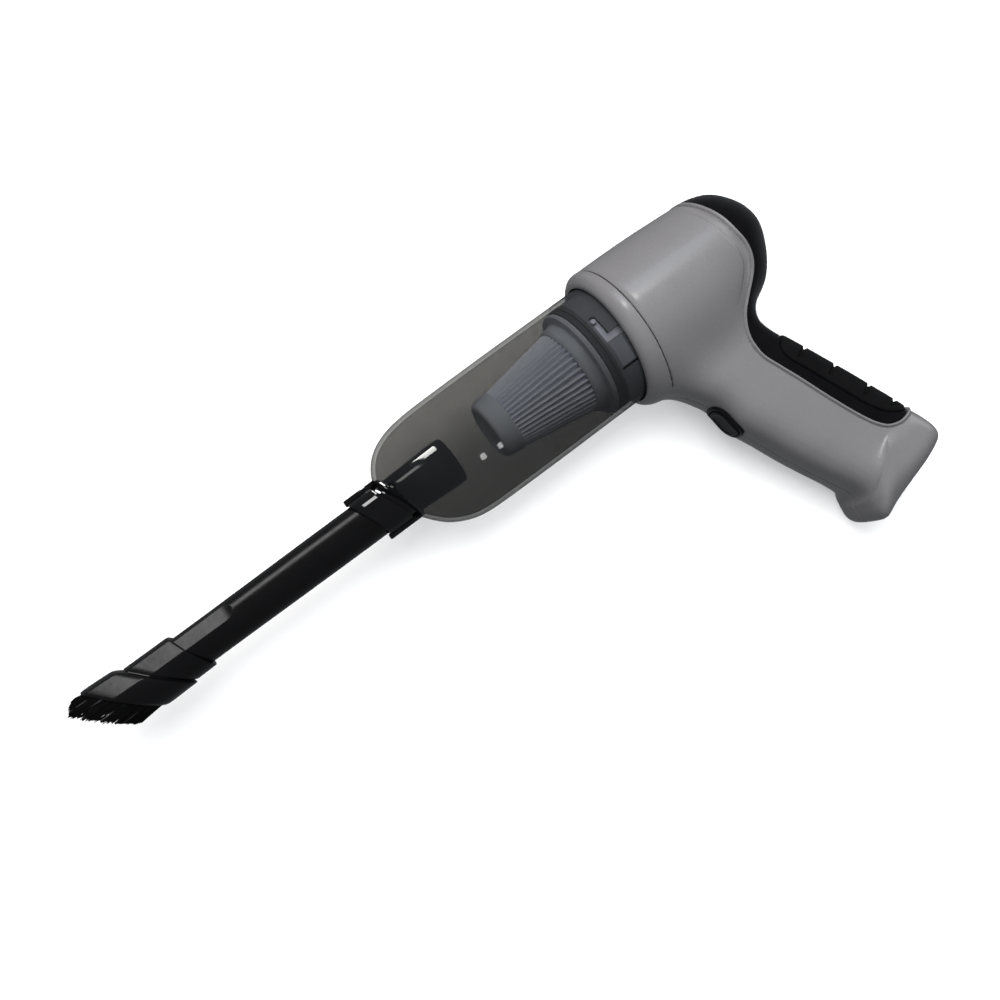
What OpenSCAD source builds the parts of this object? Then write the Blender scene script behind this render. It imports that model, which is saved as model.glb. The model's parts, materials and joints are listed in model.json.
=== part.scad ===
// Handheld car vacuum cleaner with a pistol grip.
// Drawn along its barrel: +X is the rear of the barrel, +Y the top of the tool
// (the grip hangs towards -Y) and +Z its left side. place() then lays the tool
// on its right side, the way it rests on a table.

/* [Barrel] */
// Radius of the collar and of the barrel's front end
barrel_r = 35.2; // [34.9:0.1:35.4]
// Length of the front collar
collar_w = 10; // [9.8:0.1:10.4]
// Wall of the two case halves
shell_t = 2.4; // [2:0.1:2.6]

/* [Handle] */
// Backward rake of the grip, degrees from square to the barrel
rake = 24.3; // [24:0.1:24.6]
// Side to side width of the grip
grip_w = 39; // [38:0.5:40]
// Side to side width of the flared foot of the grip
foot_w = 42; // [41:0.5:43]

/* [Dust cup] */
// Outer radius of the cup
cup_r = 29.6; // [29.5:0.05:29.7]
// Wall of the cup
cup_t = 2; // [1.9:0.1:2]
// Distance from the neck's base to the cup's nose
cup_len = 124; // [122:1:126]
// Twist that frees the bayonet, degrees
twist = 20; // [16:1:22]

/* [Filter] */
// Number of pleats
pleats = 38; // [30:2:42]
// Pleat tip radius at the wide end
filter_r = 21; // [20:0.5:22]

/* [Nozzle] */
// Outer radius of the nozzle tube
noz_r = 9.7; // [9.6:0.05:9.75]
// Wall of the nozzle tube
noz_t = 1.6; // [1.4:0.1:1.7]
// Distance from the neck's base to the front end of the tube's long side
noz_len = 272; // [266:1:274]
// Travel of the brush along the tube
brush_travel = 24; // [16:1:24]
// Number of bristle tufts
tufts = 22; // [16:2:24]

/* [Button] */
// Length of the power button
btn_l = 18; // [16:0.5:18]
// Width of the power button
btn_w = 15; // [13:0.5:15]

/* [Hidden] */
$fn = 64;
roll = 5.9;                       // lean of the tool on its side when it lies down
shift = [95, 53.09, 35.2];      // puts the middle of the footprint at the origin
slant = 44;                       // lean of the brush mouth
facet = 8.75;                     // distance of the tube's flat track from its axis
cup_ri = cup_r - cup_t;
front = -3.2;                     // front face of the collar
seam = front + collar_w;          // joint of collar and case halves
duct_r = 10.6;                    // outer radius of the duct through the cup's nose
qc = 18.3;                        // middle of the grip, front to back
q_half = 27;                      // half of the grip's front to back size
btn_s = 66;                       // place of the button along the grip
screws = [[54, 26], [42, -44], [61.5, -131], [87, -119.5]];

// Side outline of the case, from the collar's top round the back and the grip.
outline = [[-3.2, 40], [70, 40], [96, 24], [93.5, 3], [86, -10], [76, -20.5], [68, -26],
  [65.5, -30], [65.5, -36], [69.5, -44.5], [78, -62], [85.5, -79], [92.5, -95.5],
  [95.5, -103], [98, -111], [101, -124], [98, -128], [60, -140], [56, -140], [51, -138],
  [44, -130], [45.3, -125], [45.5, -120],
  [40.5, -110], [35.5, -101], [31.5, -92], [25.5, -76.5], [21, -67.5], [18, -60],
  [17.5, -54], [16.5, -47], [13, -41.5], [7, -37.5], [-3.2, -33]];

// Border of the dark rear cover on each side of the case.
cover_edge = [[62, 45], [63, 36], [64, 31], [65.5, 20], [66.5, 12], [67, 5], [68, -1.5], [68, -7],
  [66.5, -11.5], [64, -15.5], [60, -19], [57, -22.5], [53, -26], [49.5, -32.5],
  [48, -39], [48.5, -47], [52, -54.5], [55.5, -64.5], [62.5, -81], [68.5, -95],
  [72.5, -103], [76, -106.5], [81.5, -108.5], [87, -107.5], [110, -107.5], [110, 45]];

// Border of the ribbed pad on the back of the grip.
pad_edge = [[80, -36], [66, -40], [60.5, -45], [57.5, -52], [58.5, -58], [62, -64.5], [69, -81.5],
  [76, -97], [80, -103], [86, -104.5], [110, -104.5], [110, -36]];

// Moves every side of a clockwise outline inwards by d.
function unit(v) = v / norm(v);
function side_n(a, b) = let (e = unit(b - a)) [e[1], -e[0]];
function inset(p, d) = let (n = len(p)) [for (i = [0 : n - 1])
  let (a = side_n(p[(i + n - 1) % n], p[i]), b = side_n(p[i], p[(i + 1) % n]))
  p[i] + d * (a + b) / (1 + a * b)];

module place() { translate(shift) rotate([roll, 0, 0]) children(); }
// Round bar or tube along the barrel's axis.
module bar(x0, x1, r, ri = 0) {
  translate([x0, 0, 0]) rotate([0, 90, 0]) difference() {
    cylinder(r = r, h = x1 - x0);
    if (ri > 0) translate([0, 0, -1]) cylinder(r = ri, h = x1 - x0 + 2);
  }
}
// Turned shape about the barrel's axis from [x, radius] points.
module turned(p) { rotate([0, 90, 0]) rotate_extrude() polygon([for (q = p) [q[1], q[0]]]); }
// Grip frame: x runs down the grip, y from its front to its back.
module grip() { rotate([0, 0, rake - 90]) children(); }
module round_rect(a, b, r) {
  square([2 * a, 2 * (b - r)], center = true);
  square([2 * (a - r), 2 * b], center = true);
  for (i = [-1, 1], j = [-1, 1]) translate([i * (a - r), j * (b - r)]) circle(r);
}
// Bar along the grip with a rounded section.
module grip_bar(s0, s1, q, a, b, r) {
  grip() translate([s0, q, 0]) rotate([90, 0, 90]) linear_extrude(s1 - s0) round_rect(a, b, r);
}
module oblong(l, w) {
  square([l - w, w], center = true);
  for (i = [-1, 1]) translate([i * (l - w) / 2, 0]) circle(d = w);
}
module side_cut(p) { translate([0, 0, -60]) linear_extrude(120) polygon(p); }

// Solid body of the case, with its surface moved in by d.
module body(d = 0) {
  intersection() {
    side_cut(inset(outline, d));
    union() {
      turned(concat([[front, 0], [front, barrel_r - d], [20, barrel_r - d], [40, 34.8 - d]],
        [for (t = [0 : 9 : 90]) [62 + (30 - d) * pow(sin(t), 0.8),
          (33.8 - d) * pow(abs(cos(t)), 0.8)]]));
      grip_bar(6, 150, qc, q_half - d, grip_w / 2 - d, 16 - d);
      grip_bar(130, 165, 14, 29 - d, foot_w / 2 - d, 15 - d);
    }
  }
}
module wall(d0, d1) { difference() { body(d0); body(d1); } }
module button_hole(grow) {
  grip() translate([btn_s, -30, 0]) rotate([-90, 0, 0]) linear_extrude(29)
    oblong(btn_l + 2 * grow, btn_w + 2 * grow);
}
// Half of the case: side is 1 for the left and -1 for the right.
module half_case(side) {
  difference() {
    intersection() {
      union() {
        wall(0, shell_t);
        for (p = screws) intersection() {
          body(1);
          translate([p[0], p[1], -40]) cylinder(r = 4, h = 80);
        }
      }
      translate([seam, -160, side > 0 ? 0 : -60]) cube([120, 220, 60]);
    }
    side_cut(cover_edge);
    button_hole(2.2);
    for (p = screws) translate([p[0], p[1], 0]) {
      if (side > 0) translate([0, 0, -1]) cylinder(r = 1.1, h = 11);
      else {
        translate([0, 0, -45]) cylinder(r = 1.5, h = 50);
        translate([0, 0, -45]) cylinder(r = 3.3, h = 37);
      }
    }
    // seat of the charging inlet in the foot
    grip() translate([140, 16, 0]) cube([40, 13, 8], center = true);
  }
}

module left_shell() { color([0.55, 0.54, 0.55]) place() half_case(1); }
module right_shell() { color([0.55, 0.54, 0.55]) place() half_case(-1); }

module front_collar() {
  color([0.53, 0.52, 0.53]) place() difference() {
    intersection() {
      body(0);
      union() {
        turned([[front, 0], [front, 31.6], [front + 0.8, 33], [front + 2.4, 34.3], [front + 5, 35.2],
          [front + 6, 45], [seam, 45], [seam, 0]]);
        translate([front, -60, -30]) cube([collar_w, 30, 60]);
      }
    }
    bar(front - 1, 20, 30.4);
    bar(4.1, 20, 33.1);
    grip_bar(6, 150, qc, q_half - 2.4, grip_w / 2 - 2.4, 13.6);
  }
}

module rear_cover() {
  color([0.05, 0.05, 0.06]) place() difference() {
    intersection() { wall(0, 3.2); side_cut(cover_edge); }
    intersection() { wall(-2, 1.6); side_cut(pad_edge); }
    // outlet slots at the back of the barrel
    for (i = [-2 : 2]) translate([80, 14 + i * 4.6, -8]) cube([30, 2.2, 16]);
  }
}

module grip_pad() {
  color([0.07, 0.07, 0.08]) place() difference() {
    intersection() { wall(0, 1.6); side_cut(pad_edge); }
    for (i = [0 : 4]) grip() translate([69 + i * 16.6, 43.9, 0])
      cube([1.8, 3, 60], center = true);
  }
}

module button_bezel() {
  color([0.08, 0.08, 0.09]) place() difference() {
    grip() translate([btn_s, -9.2, 0]) rotate([-90, 0, 0]) linear_extrude(4.6)
      oblong(btn_l + 4, btn_w + 4);
    button_hole(0.4);
  }
}
module power_button() {
  color([0.04, 0.04, 0.05]) place() grip() translate([btn_s, -10.6, 0]) {
    rotate([-90, 0, 0]) linear_extrude(5.6) oblong(btn_l, btn_w);
    translate([0, 5.2, 0]) rotate([-90, 0, 0]) cylinder(r = 2, h = 3.2);
  }
}
module button_switch() {
  color([0.2, 0.2, 0.22]) place() grip() translate([btn_s, 0, 0]) {
    translate([-4, -0.6, -4]) cube([8, 6, 8]);
    translate([-4.6, 5.4, -7]) cube([9.2, 1.6, 14]);
  }
}
module control_board() {
  color([0.08, 0.3, 0.16]) place() grip() {
    translate([44, 9.4, -13]) cube([23, 1.6, 26]);
    translate([48, 11, -6]) cube([9, 2.6, 9]);
    translate([60, 11, -8]) cube([5, 4, 6]);
  }
}
// Wire with round joints through the given points.
module wire(p, r) {
  for (i = [0 : len(p) - 2]) hull() {
    translate(p[i]) sphere(r, $fn = 10);
    translate(p[i + 1]) sphere(r, $fn = 10);
  }
}
module power_leads() {
  color([0.6, 0.08, 0.06]) place() for (z = [-2.5, 2.5])
    wire([[27, -35.05, z], [31, -33, z], [36, -33.2, z], [42, -27.5, z], [56, -22, z], [72.2, -18, z], [72.2, -16, z]], 0.9);
}

module battery_cells() {
  color([0.1, 0.3, 0.5]) place() grip() for (q = [8, 27]) translate([73, q, 0]) rotate([0, 90, 0]) {
    cylinder(r = 9.2, h = 64);
    cylinder(r = 3.4, h = 65);
  }
}
module battery_holder() {
  color([0.15, 0.15, 0.16]) place() grip() {
    translate([71, -1.5, -9]) cube([2, 38, 18]);
    translate([138, -1.5, -9]) cube([2, 38, 18]);
    translate([71, 15.5, -11.5]) cube([69, 4, 3.5]);
  }
}
module charge_socket() {
  color([0.3, 0.3, 0.32]) place() grip() translate([147, 16, 0]) difference() {
    translate([-4, -6, -3.6]) cube([9, 12, 7.2]);
    translate([-2.5, 0, 0]) rotate([90, 0, 90]) linear_extrude(20) oblong(9, 3.4);
  }
}
module case_screws() {
  color([0.7, 0.7, 0.72]) place() for (p = screws) translate([p[0], p[1], 0]) difference() {
    union() {
      translate([0, 0, -10]) cylinder(r = 2.9, h = 2);
      translate([0, 0, -8.5]) cylinder(r = 1.05, h = 17);
    }
    for (a = [0, 90]) translate([0, 0, -10]) rotate(a) cube([3.6, 0.7, 2.2], center = true);
  }
}

module motor_can() {
  color([0.65, 0.65, 0.67]) place() difference() {
    bar(34, 70, 16.5);
    bar(36, 71, 15);
    bar(30, 40, 4.2);
  }
}
module motor_end_bell() {
  color([0.12, 0.12, 0.13]) place() difference() {
    bar(70, 74, 16.5);
    bar(69, 75, 4.2);
    for (a = [0 : 60 : 300]) rotate([a, 0, 0]) translate([72, 11, 0]) rotate([0, 90, 0])
      cylinder(r = 2.2, h = 8, center = true);
  }
}
module motor_magnets() {
  color([0.2, 0.2, 0.2]) place() for (s = [-1, 1]) intersection() {
    bar(40, 66, 15, 12.8);
    translate([40, s > 0 ? 4 : -24, -20]) cube([26, 20, 40]);
  }
}
module motor_bushings() {
  color([0.75, 0.55, 0.3]) place() { bar(33.5, 37, 4.2, 1.65); bar(70.5, 75, 4.2, 1.65); }
}
module motor_mount() {
  color([0.1, 0.1, 0.1]) place() difference() {
    bar(43, 49, 31.2, 16.5);
    for (a = [0 : 45 : 315]) rotate([a, 0, 0]) translate([46, 24, 0]) rotate([0, 90, 0])
      cylinder(r = 5.5, h = 10, center = true);
  }
}
module rotor_shaft() { color([0.75, 0.75, 0.78]) place() bar(15.6, 77, 1.6); }
module rotor_core() { color([0.6, 0.35, 0.2]) place() difference() {
  bar(42, 64, 12.2, 1.6);
  for (a = [0 : 60 : 300]) rotate([a, 0, 0]) translate([40, 8, -1]) cube([30, 6, 2]);
} }
module impeller() {
  color([0.2, 0.2, 0.22]) place() {
    bar(25, 27, 26, 1.6);
    bar(16, 25, 4, 1.6);
    for (a = [0 : 40 : 320]) rotate([a, 0, 0]) translate([18, 3.6, -0.7]) rotate([14, 0, 0]) cube([7, 20.5, 1.4]);
  }
}
module fan_shroud() {
  color([0.3, 0.3, 0.32]) place() {
    bar(13.2, 15.2, 31.6, 12);
    bar(15.2, 30, 31.6, 29.6);
    difference() {
      bar(30, 34, 31.6, 16.6);
      for (a = [0 : 30 : 330]) rotate([a, 0, 0]) translate([32, 24, 0]) rotate([0, 90, 0])
        cylinder(r = 3.6, h = 10, center = true);
    }
  }
}
module exhaust_foam() { color([0.25, 0.25, 0.26]) place() translate([0, 6, 0]) bar(79, 84.5, 13, 5); }

module neck_ring() {
  color([0.24, 0.25, 0.26]) place() {
    bar(-13, 4.3, 27, 23.8);
    bar(4.3, 6.4, 33, 23.8);
    bar(6.4, 13, 31.4, 29);
    bar(-16, -13, 25.6, 23.8);
    // bayonet lugs
    for (a = [69.5, 249.5]) rotate([a, 0, 0]) translate([-9.2, 27.4, 0]) rotate([90, 0, 0])
      translate([0, 0, -0.9]) cylinder(r = 2.4, h = 2.4);
  }
}
module seal_ring() { color([0.12, 0.12, 0.13]) place() bar(-15.7, -13.3, 27.5, 25.68); }

module filter_frame() {
  color([0.36, 0.38, 0.42]) place() {
    bar(-18, -16, 26.8, 20);
    bar(-16, 2, 23.8, 22);
    bar(-24, -18, 21.8, 19.4);
  }
}
// Ring of folds that narrows towards the nose.
module folds(r, depth) {
  polygon([for (i = [0 : 2 * pleats - 1]) let (a = 180 * i / pleats, k = (i % 2 == 0) ? r : r - depth)
    [k * cos(a), k * sin(a)]]);
}
module filter_pleats() {
  color([0.42, 0.45, 0.5]) place() translate([-24, 0, 0]) rotate([0, -90, 0]) difference() {
    linear_extrude(38, scale = 0.7) folds(filter_r - 0.2, 2.6);
    translate([0, 0, -0.01]) linear_extrude(38.02, scale = 0.7) circle(r = 16, $fn = 38);
  }
}
module filter_cap() { color([0.36, 0.38, 0.42]) place() turned([[-62, 0], [-62, 14.8], [-67, 14.4], [-69, 13], [-69, 0]]); }

module dust_cup() {
  color([0.3, 0.3, 0.29, 0.5]) place() difference() {
    turned(concat([[3.4, 0], [3.4, cup_r], [-cup_len + 18, cup_r]],
      [for (t = [10 : 10 : 90]) [-cup_len + 18 - 18 * sin(t), cup_r - 18 + 18 * cos(t)]],
      [[-cup_len - 3, 12], [-cup_len - 3, 0]]));
    turned(concat([[5, 0], [5, cup_ri], [-cup_len + 18, cup_ri]],
      [for (t = [10 : 10 : 90]) [-cup_len + 18 - 16 * sin(t), cup_r - 18 + 16 * cos(t)]],
      [[-cup_len + 2, 0]]));
    bar(-cup_len - 5, -cup_len + 5, duct_r);
    // bayonet grooves inside the rim
    for (a = [69.5, 249.5]) rotate([0, 90, 0]) rotate([0, 0, a + 85])
      rotate_extrude(angle = twist + 10) translate([cup_ri - 2, -12.2]) square([3, 21]);
  }
}
module inlet_duct() {
  color([0.05, 0.05, 0.05]) place() difference() {
    union() {
      bar(-139, -91.5, duct_r);
      bar(-139, -cup_len - 3, 11.3);
      bar(-cup_len + 2, -cup_len + 4.5, 12.6);
      for (s = [-1, 1]) translate([-139, s > 0 ? 8.6 : -12, -3]) cube([139 - cup_len - 3, 3.4, 6]);
    }
    bar(-142, -108, noz_r + 0.08);
    bar(-115, -88, 8.6);
  }
}

// Half space ahead of (or behind) the slanted mouth, x0 on the axis.
module mouth(x0, ahead) {
  translate([x0, 0, 0]) rotate([0, 0, slant]) translate([ahead ? -200 : 0, -100, -100]) cube([200, 200, 200]);
}
module track(d, x0, x1, out) {
  rotate([60, 0, 0]) translate([x0, d, -20]) cube([x1 - x0, out, 40]);
}
module nozzle_tube() {
  color([0.04, 0.04, 0.04]) place() difference() {
    intersection() { bar(-noz_len, -108.3, noz_r); mouth(-noz_len + 11, false); }
    bar(-noz_len - 1, -100, noz_r - noz_t);
    track(facet, -noz_len - 1, -230 + brush_travel, 5);
  }
}
module brush_sleeve() {
  color([0.04, 0.04, 0.04]) place() difference() {
    intersection() {
      union() {
        bar(-290, -232, 11.3);
        intersection() { bar(-290, -233, 12); mouth(-248.5, true); }
      }
      mouth(-264.5, false);
    }
    difference() { bar(-300, -225, noz_r + 0.08); track(facet + 0.12, -301, -224, 5); }
  }
}
module bristles() {
  color([0.03, 0.03, 0.03]) place() intersection() {
    for (a = [0 : 360 / tufts : 359]) rotate([a, 0, 0]) translate([-310, 10.9, 0]) rotate([0, 90, 0])
      cylinder(r = 1, h = 75, $fn = 16);
    mouth(-264.5, true);
    mouth(-279.5, false);
  }
}

left_shell();
right_shell();
front_collar();
rear_cover();
grip_pad();
button_bezel();
power_button();
button_switch();
control_board();
power_leads();
battery_cells();
battery_holder();
charge_socket();
case_screws();
motor_can();
motor_end_bell();
motor_magnets();
motor_bushings();
motor_mount();
rotor_shaft();
rotor_core();
impeller();
fan_shroud();
exhaust_foam();
neck_ring();
seal_ring();
filter_frame();
filter_pleats();
filter_cap();
dust_cup();
inlet_duct();
nozzle_tube();
brush_sleeve();
bristles();
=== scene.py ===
"""Looks of a handheld car vacuum cleaner that lies on its right side.

Pieces are drawn in the tool's own axes in millimetres: X runs to the rear of the
barrel, Y to the top of the tool and Z to its left side. row() then lays them down
in the frame, in metres.
"""
import json
import math
import bmesh
import bpy
import numpy as np
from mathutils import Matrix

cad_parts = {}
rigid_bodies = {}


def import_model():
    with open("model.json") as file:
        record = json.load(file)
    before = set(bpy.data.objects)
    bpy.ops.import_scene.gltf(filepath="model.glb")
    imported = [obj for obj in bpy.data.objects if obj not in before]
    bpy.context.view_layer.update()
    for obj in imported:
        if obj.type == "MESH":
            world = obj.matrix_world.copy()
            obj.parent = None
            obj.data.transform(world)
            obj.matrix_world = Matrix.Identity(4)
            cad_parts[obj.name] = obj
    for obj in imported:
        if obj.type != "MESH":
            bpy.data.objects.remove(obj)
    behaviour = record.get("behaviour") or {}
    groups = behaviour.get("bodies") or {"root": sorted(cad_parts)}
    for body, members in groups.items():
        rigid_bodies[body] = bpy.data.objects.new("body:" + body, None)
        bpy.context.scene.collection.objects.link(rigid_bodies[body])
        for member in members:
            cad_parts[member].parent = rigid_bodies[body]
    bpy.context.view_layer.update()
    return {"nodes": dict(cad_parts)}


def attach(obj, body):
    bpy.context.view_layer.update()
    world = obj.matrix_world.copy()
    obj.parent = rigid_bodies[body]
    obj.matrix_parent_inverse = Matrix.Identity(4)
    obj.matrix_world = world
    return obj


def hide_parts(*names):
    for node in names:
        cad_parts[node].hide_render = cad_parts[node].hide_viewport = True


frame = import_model()
NODES = frame["nodes"]

# ------------------------------------------------------------------ frame
ROLL = math.radians(5.9)
SHIFT = np.array([95.0, 53.09, 35.2])
LAY = np.array([[1, 0, 0],
                [0, math.cos(ROLL), -math.sin(ROLL)],
                [0, math.sin(ROLL), math.cos(ROLL)]])


def row(p):
    return (np.asarray(p, float) @ LAY.T + SHIFT) / 1000.0


def turn(v):
    return LAY @ np.asarray(v, float)


def smooth(a, b, x):
    t = np.clip((np.asarray(x, float) - a) / (b - a), 0, 1)
    return t * t * (3 - 2 * t)


def unit(v):
    return v / np.maximum(np.linalg.norm(v, axis=-1, keepdims=True), 1e-12)


# ------------------------------------------------------------------ body of the case
RAKE = math.radians(24.3)
H = np.array([math.sin(RAKE), -math.cos(RAKE)])   # down the grip
N = np.array([math.cos(RAKE), math.sin(RAKE)])    # from the grip's front to its back


def at(s, q, z=0.0):
    s, q, z = np.broadcast_arrays(np.asarray(s, float), np.asarray(q, float), np.asarray(z, float))
    return np.stack([s * H[0] + q * N[0], s * H[1] + q * N[1], z], -1)


def catmull(P, n):
    """Smooth curve through the points, n steps a span."""
    P = np.asarray(P, float)
    out = []
    m = len(P)
    for i in range(m - 1):
        p1, p2 = P[i], P[i + 1]
        p0 = P[i - 1] if i > 0 else 2 * p1 - p2
        p3 = P[i + 2] if i < m - 2 else 2 * p2 - p1
        t0 = 0.0
        t1 = t0 + np.linalg.norm(p1 - p0) ** .5
        t2 = t1 + np.linalg.norm(p2 - p1) ** .5
        t3 = t2 + np.linalg.norm(p3 - p2) ** .5
        t = np.linspace(t1, t2, n, endpoint=False)[:, None]
        a1 = (t1 - t) / (t1 - t0) * p0 + (t - t0) / (t1 - t0) * p1
        a2 = (t2 - t) / (t2 - t1) * p1 + (t - t1) / (t2 - t1) * p2
        a3 = (t3 - t) / (t3 - t2) * p2 + (t - t2) / (t3 - t2) * p3
        b1 = (t2 - t) / (t2 - t0) * a1 + (t - t0) / (t2 - t0) * a2
        b2 = (t3 - t) / (t3 - t1) * a2 + (t - t1) / (t3 - t1) * a3
        out.append((t2 - t) / (t2 - t1) * b1 + (t - t1) / (t2 - t1) * b2)
    out.append(P[-1:])
    return np.concatenate(out)


def inside_distance(poly, pts):
    """Distance to a closed outline, positive inside."""
    a = poly
    b = np.roll(poly, -1, 0)
    out = np.empty(len(pts))
    for i in range(0, len(pts), 4000):
        p = pts[i:i + 4000, None, :]
        e = (b - a)[None]
        w = p - a[None]
        t = np.clip((w * e).sum(-1) / np.maximum((e * e).sum(-1), 1e-12), 0, 1)
        d2 = ((w - t[..., None] * e) ** 2).sum(-1).min(1)
        c1 = (a[None, :, 1] <= p[..., 1])
        c2 = (b[None, :, 1] <= p[..., 1])
        cr = e[..., 0] * w[..., 1] - e[..., 1] * w[..., 0]
        wn = ((c1 & ~c2 & (cr > 0)).astype(int) - (~c1 & c2 & (cr < 0)).astype(int)).sum(1)
        out[i:i + 4000] = np.sqrt(d2) * np.where(wn != 0, 1, -1)
    return out


class Grid2:
    """Cubic B-spline lookup of a grid of values."""

    def __init__(self, x0, y0, h, V):
        self.x0, self.y0, self.h, self.V = x0, y0, h, V

    def __call__(self, x, y):
        u = (x - self.x0) / self.h
        v = (y - self.y0) / self.h
        i = np.clip(np.floor(u).astype(int), 1, self.V.shape[0] - 3)
        j = np.clip(np.floor(v).astype(int), 1, self.V.shape[1] - 3)
        fu = np.clip(u - i, 0, 1)
        fv = np.clip(v - j, 0, 1)

        def w(f):
            return ((1 - f) ** 3 / 6, (3 * f ** 3 - 6 * f * f + 4) / 6,
                    (-3 * f ** 3 + 3 * f * f + 3 * f + 1) / 6, f ** 3 / 6)
        wu, wv = w(fu), w(fv)
        r = 0
        for a in range(4):
            for b in range(4):
                r = r + wu[a] * wv[b] * self.V[i + a - 1, j + b - 1]
        return r


def grid_of(poly, lo, hi, h):
    nx, ny = int((hi[0] - lo[0]) / h) + 1, int((hi[1] - lo[1]) / h) + 1
    g = np.stack(np.meshgrid(lo[0] + np.arange(nx) * h, lo[1] + np.arange(ny) * h, indexing="ij"), -1)
    return inside_distance(poly, g.reshape(-1, 2)).reshape(nx, ny)


def blur(V, sig, h):
    r = int(3 * sig / h)
    k = np.exp(-0.5 * (np.arange(-r, r + 1) * h / sig) ** 2)
    k /= k.sum()
    W = np.pad(V, r, mode="edge")
    W = np.apply_along_axis(lambda c: np.convolve(c, k, "valid"), 0, W)
    return np.apply_along_axis(lambda c: np.convolve(c, k, "valid"), 1, W)


def table(x, tab):
    c = catmull(np.asarray(tab, float), 24)
    return np.interp(x, c[:, 0], c[:, 1])


BARREL_R = 35.2
TOP = [(-40, 35.2), (10, 35.2), (35, 34.9)]
DOME = [(60, 33.7), (68, 33.3), (77.3, 30.3), (84.1, 24.5), (90.1, 14.8), (91.6, 3.5), (86.4, -9.6),
        (77.8, -20.4), (68, -26), (58, -30.5), (46, -33.5)]
BOTTOM = [(35, -34.6), (10, -35.2), (-40, -35.2)]
GRIP_FRONT = [(-20, -4), (40, -5.5), (58, -4.0), (70, -7.2), (85, -7.3), (100, -7.5), (115, -6.9), (126, -6.2),
              (133.5, -6.2), (137.5, -7.2), (141, -9.8), (145, -12.0), (150, -12.6), (156, -11.5), (170, -9)]
GRIP_BACK = [(-20, 46), (50, 42.5), (61, 42.3), (71, 42.9), (91, 43.2), (111, 43.2), (130, 42.3), (138, 41.2),
             (146, 40.0), (155, 37.5), (170, 34)]
GRIP_END = [(-20, 151.4), (-6, 153.0), (10, 154.8), (25, 156.4), (42, 157.6), (60, 160)]


class Body:
    """Case as an implicit surface: barrel with its dome, and the grip, blended."""

    def __init__(self, h=0.5):
        o = catmull(np.array(TOP + DOME + BOTTOM, float), 14)
        x0, y0 = -14.0, -64.0
        V = grid_of(o, (x0, y0), (x0 + 124, y0 + 110), h)
        Vb = blur(V, 4.0, h)
        w = np.clip((V - 14) / 10, 0, 1)
        w = w * w * (3 - 2 * w)
        self.d2 = Grid2(x0, y0, h, V * (1 - w) + Vb * w)
        self.lo = np.array([x0, y0])
        self.hi = self.lo + (np.array(V.shape) - 4) * h

    def barrel(self, p):
        x = np.clip(p[:, 0], self.lo[0] + 1, self.hi[0] - 1)
        y = np.clip(p[:, 1], self.lo[1] + 1, self.hi[1] - 1)
        d = self.d2(x, y) - np.hypot(p[:, 0] - x, p[:, 1] - y)
        return np.hypot(p[:, 2], BARREL_R - np.minimum(d, BARREL_R)) - BARREL_R

    def grip(self, p):
        s = p[:, :2] @ H
        q = p[:, :2] @ N
        z = np.abs(p[:, 2])
        qf, qb = table(s, GRIP_FRONT), table(s, GRIP_BACK)
        a, pw = 17.5, 2.7
        B = 19.4 + 2.9 * np.clip((s - 110) / 25, 0, 1.5) ** 2
        c, A = (qf + qb) / 2, (qb - qf) / 2
        dq = np.maximum(np.abs(q - c) - (A - a), 0) / a
        side = ((dq ** pw + (z / B) ** pw) ** (1 / pw) - 1) * a
        se = table(q, GRIP_END)
        heel = smooth(-4, 26, q)
        rc, pc = 19.0 - 6.5 * heel, 2.1 + 0.5 * heel
        cap = ((np.maximum(s - (se - rc), 0) / rc) ** pc + (z / 23.0) ** pc) ** (1 / pc)
        cap = (cap - 1) * rc
        rq = 7.5 + 5.0 * heel
        dq2 = np.maximum(np.abs(q - c) - (A - rq), 0) / rq
        ds2 = np.maximum(s - (se - rq), 0) / rq
        cap2 = (np.hypot(dq2, ds2) - 1) * rq

        def smax(u, v, k):
            t = np.clip(0.5 + 0.5 * (u - v) / k, 0, 1)
            return v * (1 - t) + u * t + k * t * (1 - t)
        return smax(smax(smax(side, cap, 2.0), cap2, 2.6), 14 - s, 6.0)

    def F(self, p):
        a, b, k = self.barrel(p), self.grip(p), 11.0
        t = np.clip(0.5 + 0.5 * (b - a) / k, 0, 1)
        return b * (1 - t) + a * t - k * t * (1 - t)

    def grad(self, p, e=0.04):
        g = np.empty_like(p)
        for i in range(3):
            d = np.zeros(3)
            d[i] = e
            g[:, i] = (self.F(p + d) - self.F(p - d)) / (2 * e)
        return g

    def normal(self, p):
        return unit(self.grad(p))

    def project(self, p, n=3, keep=None):
        p = p.copy()
        for _ in range(n):
            f, g = self.F(p), self.grad(p)
            if keep is not None:
                g = g * keep
            p -= np.clip(f / np.maximum((g * g).sum(1), 1e-6), -2, 2)[:, None] * g
        return p


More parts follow.
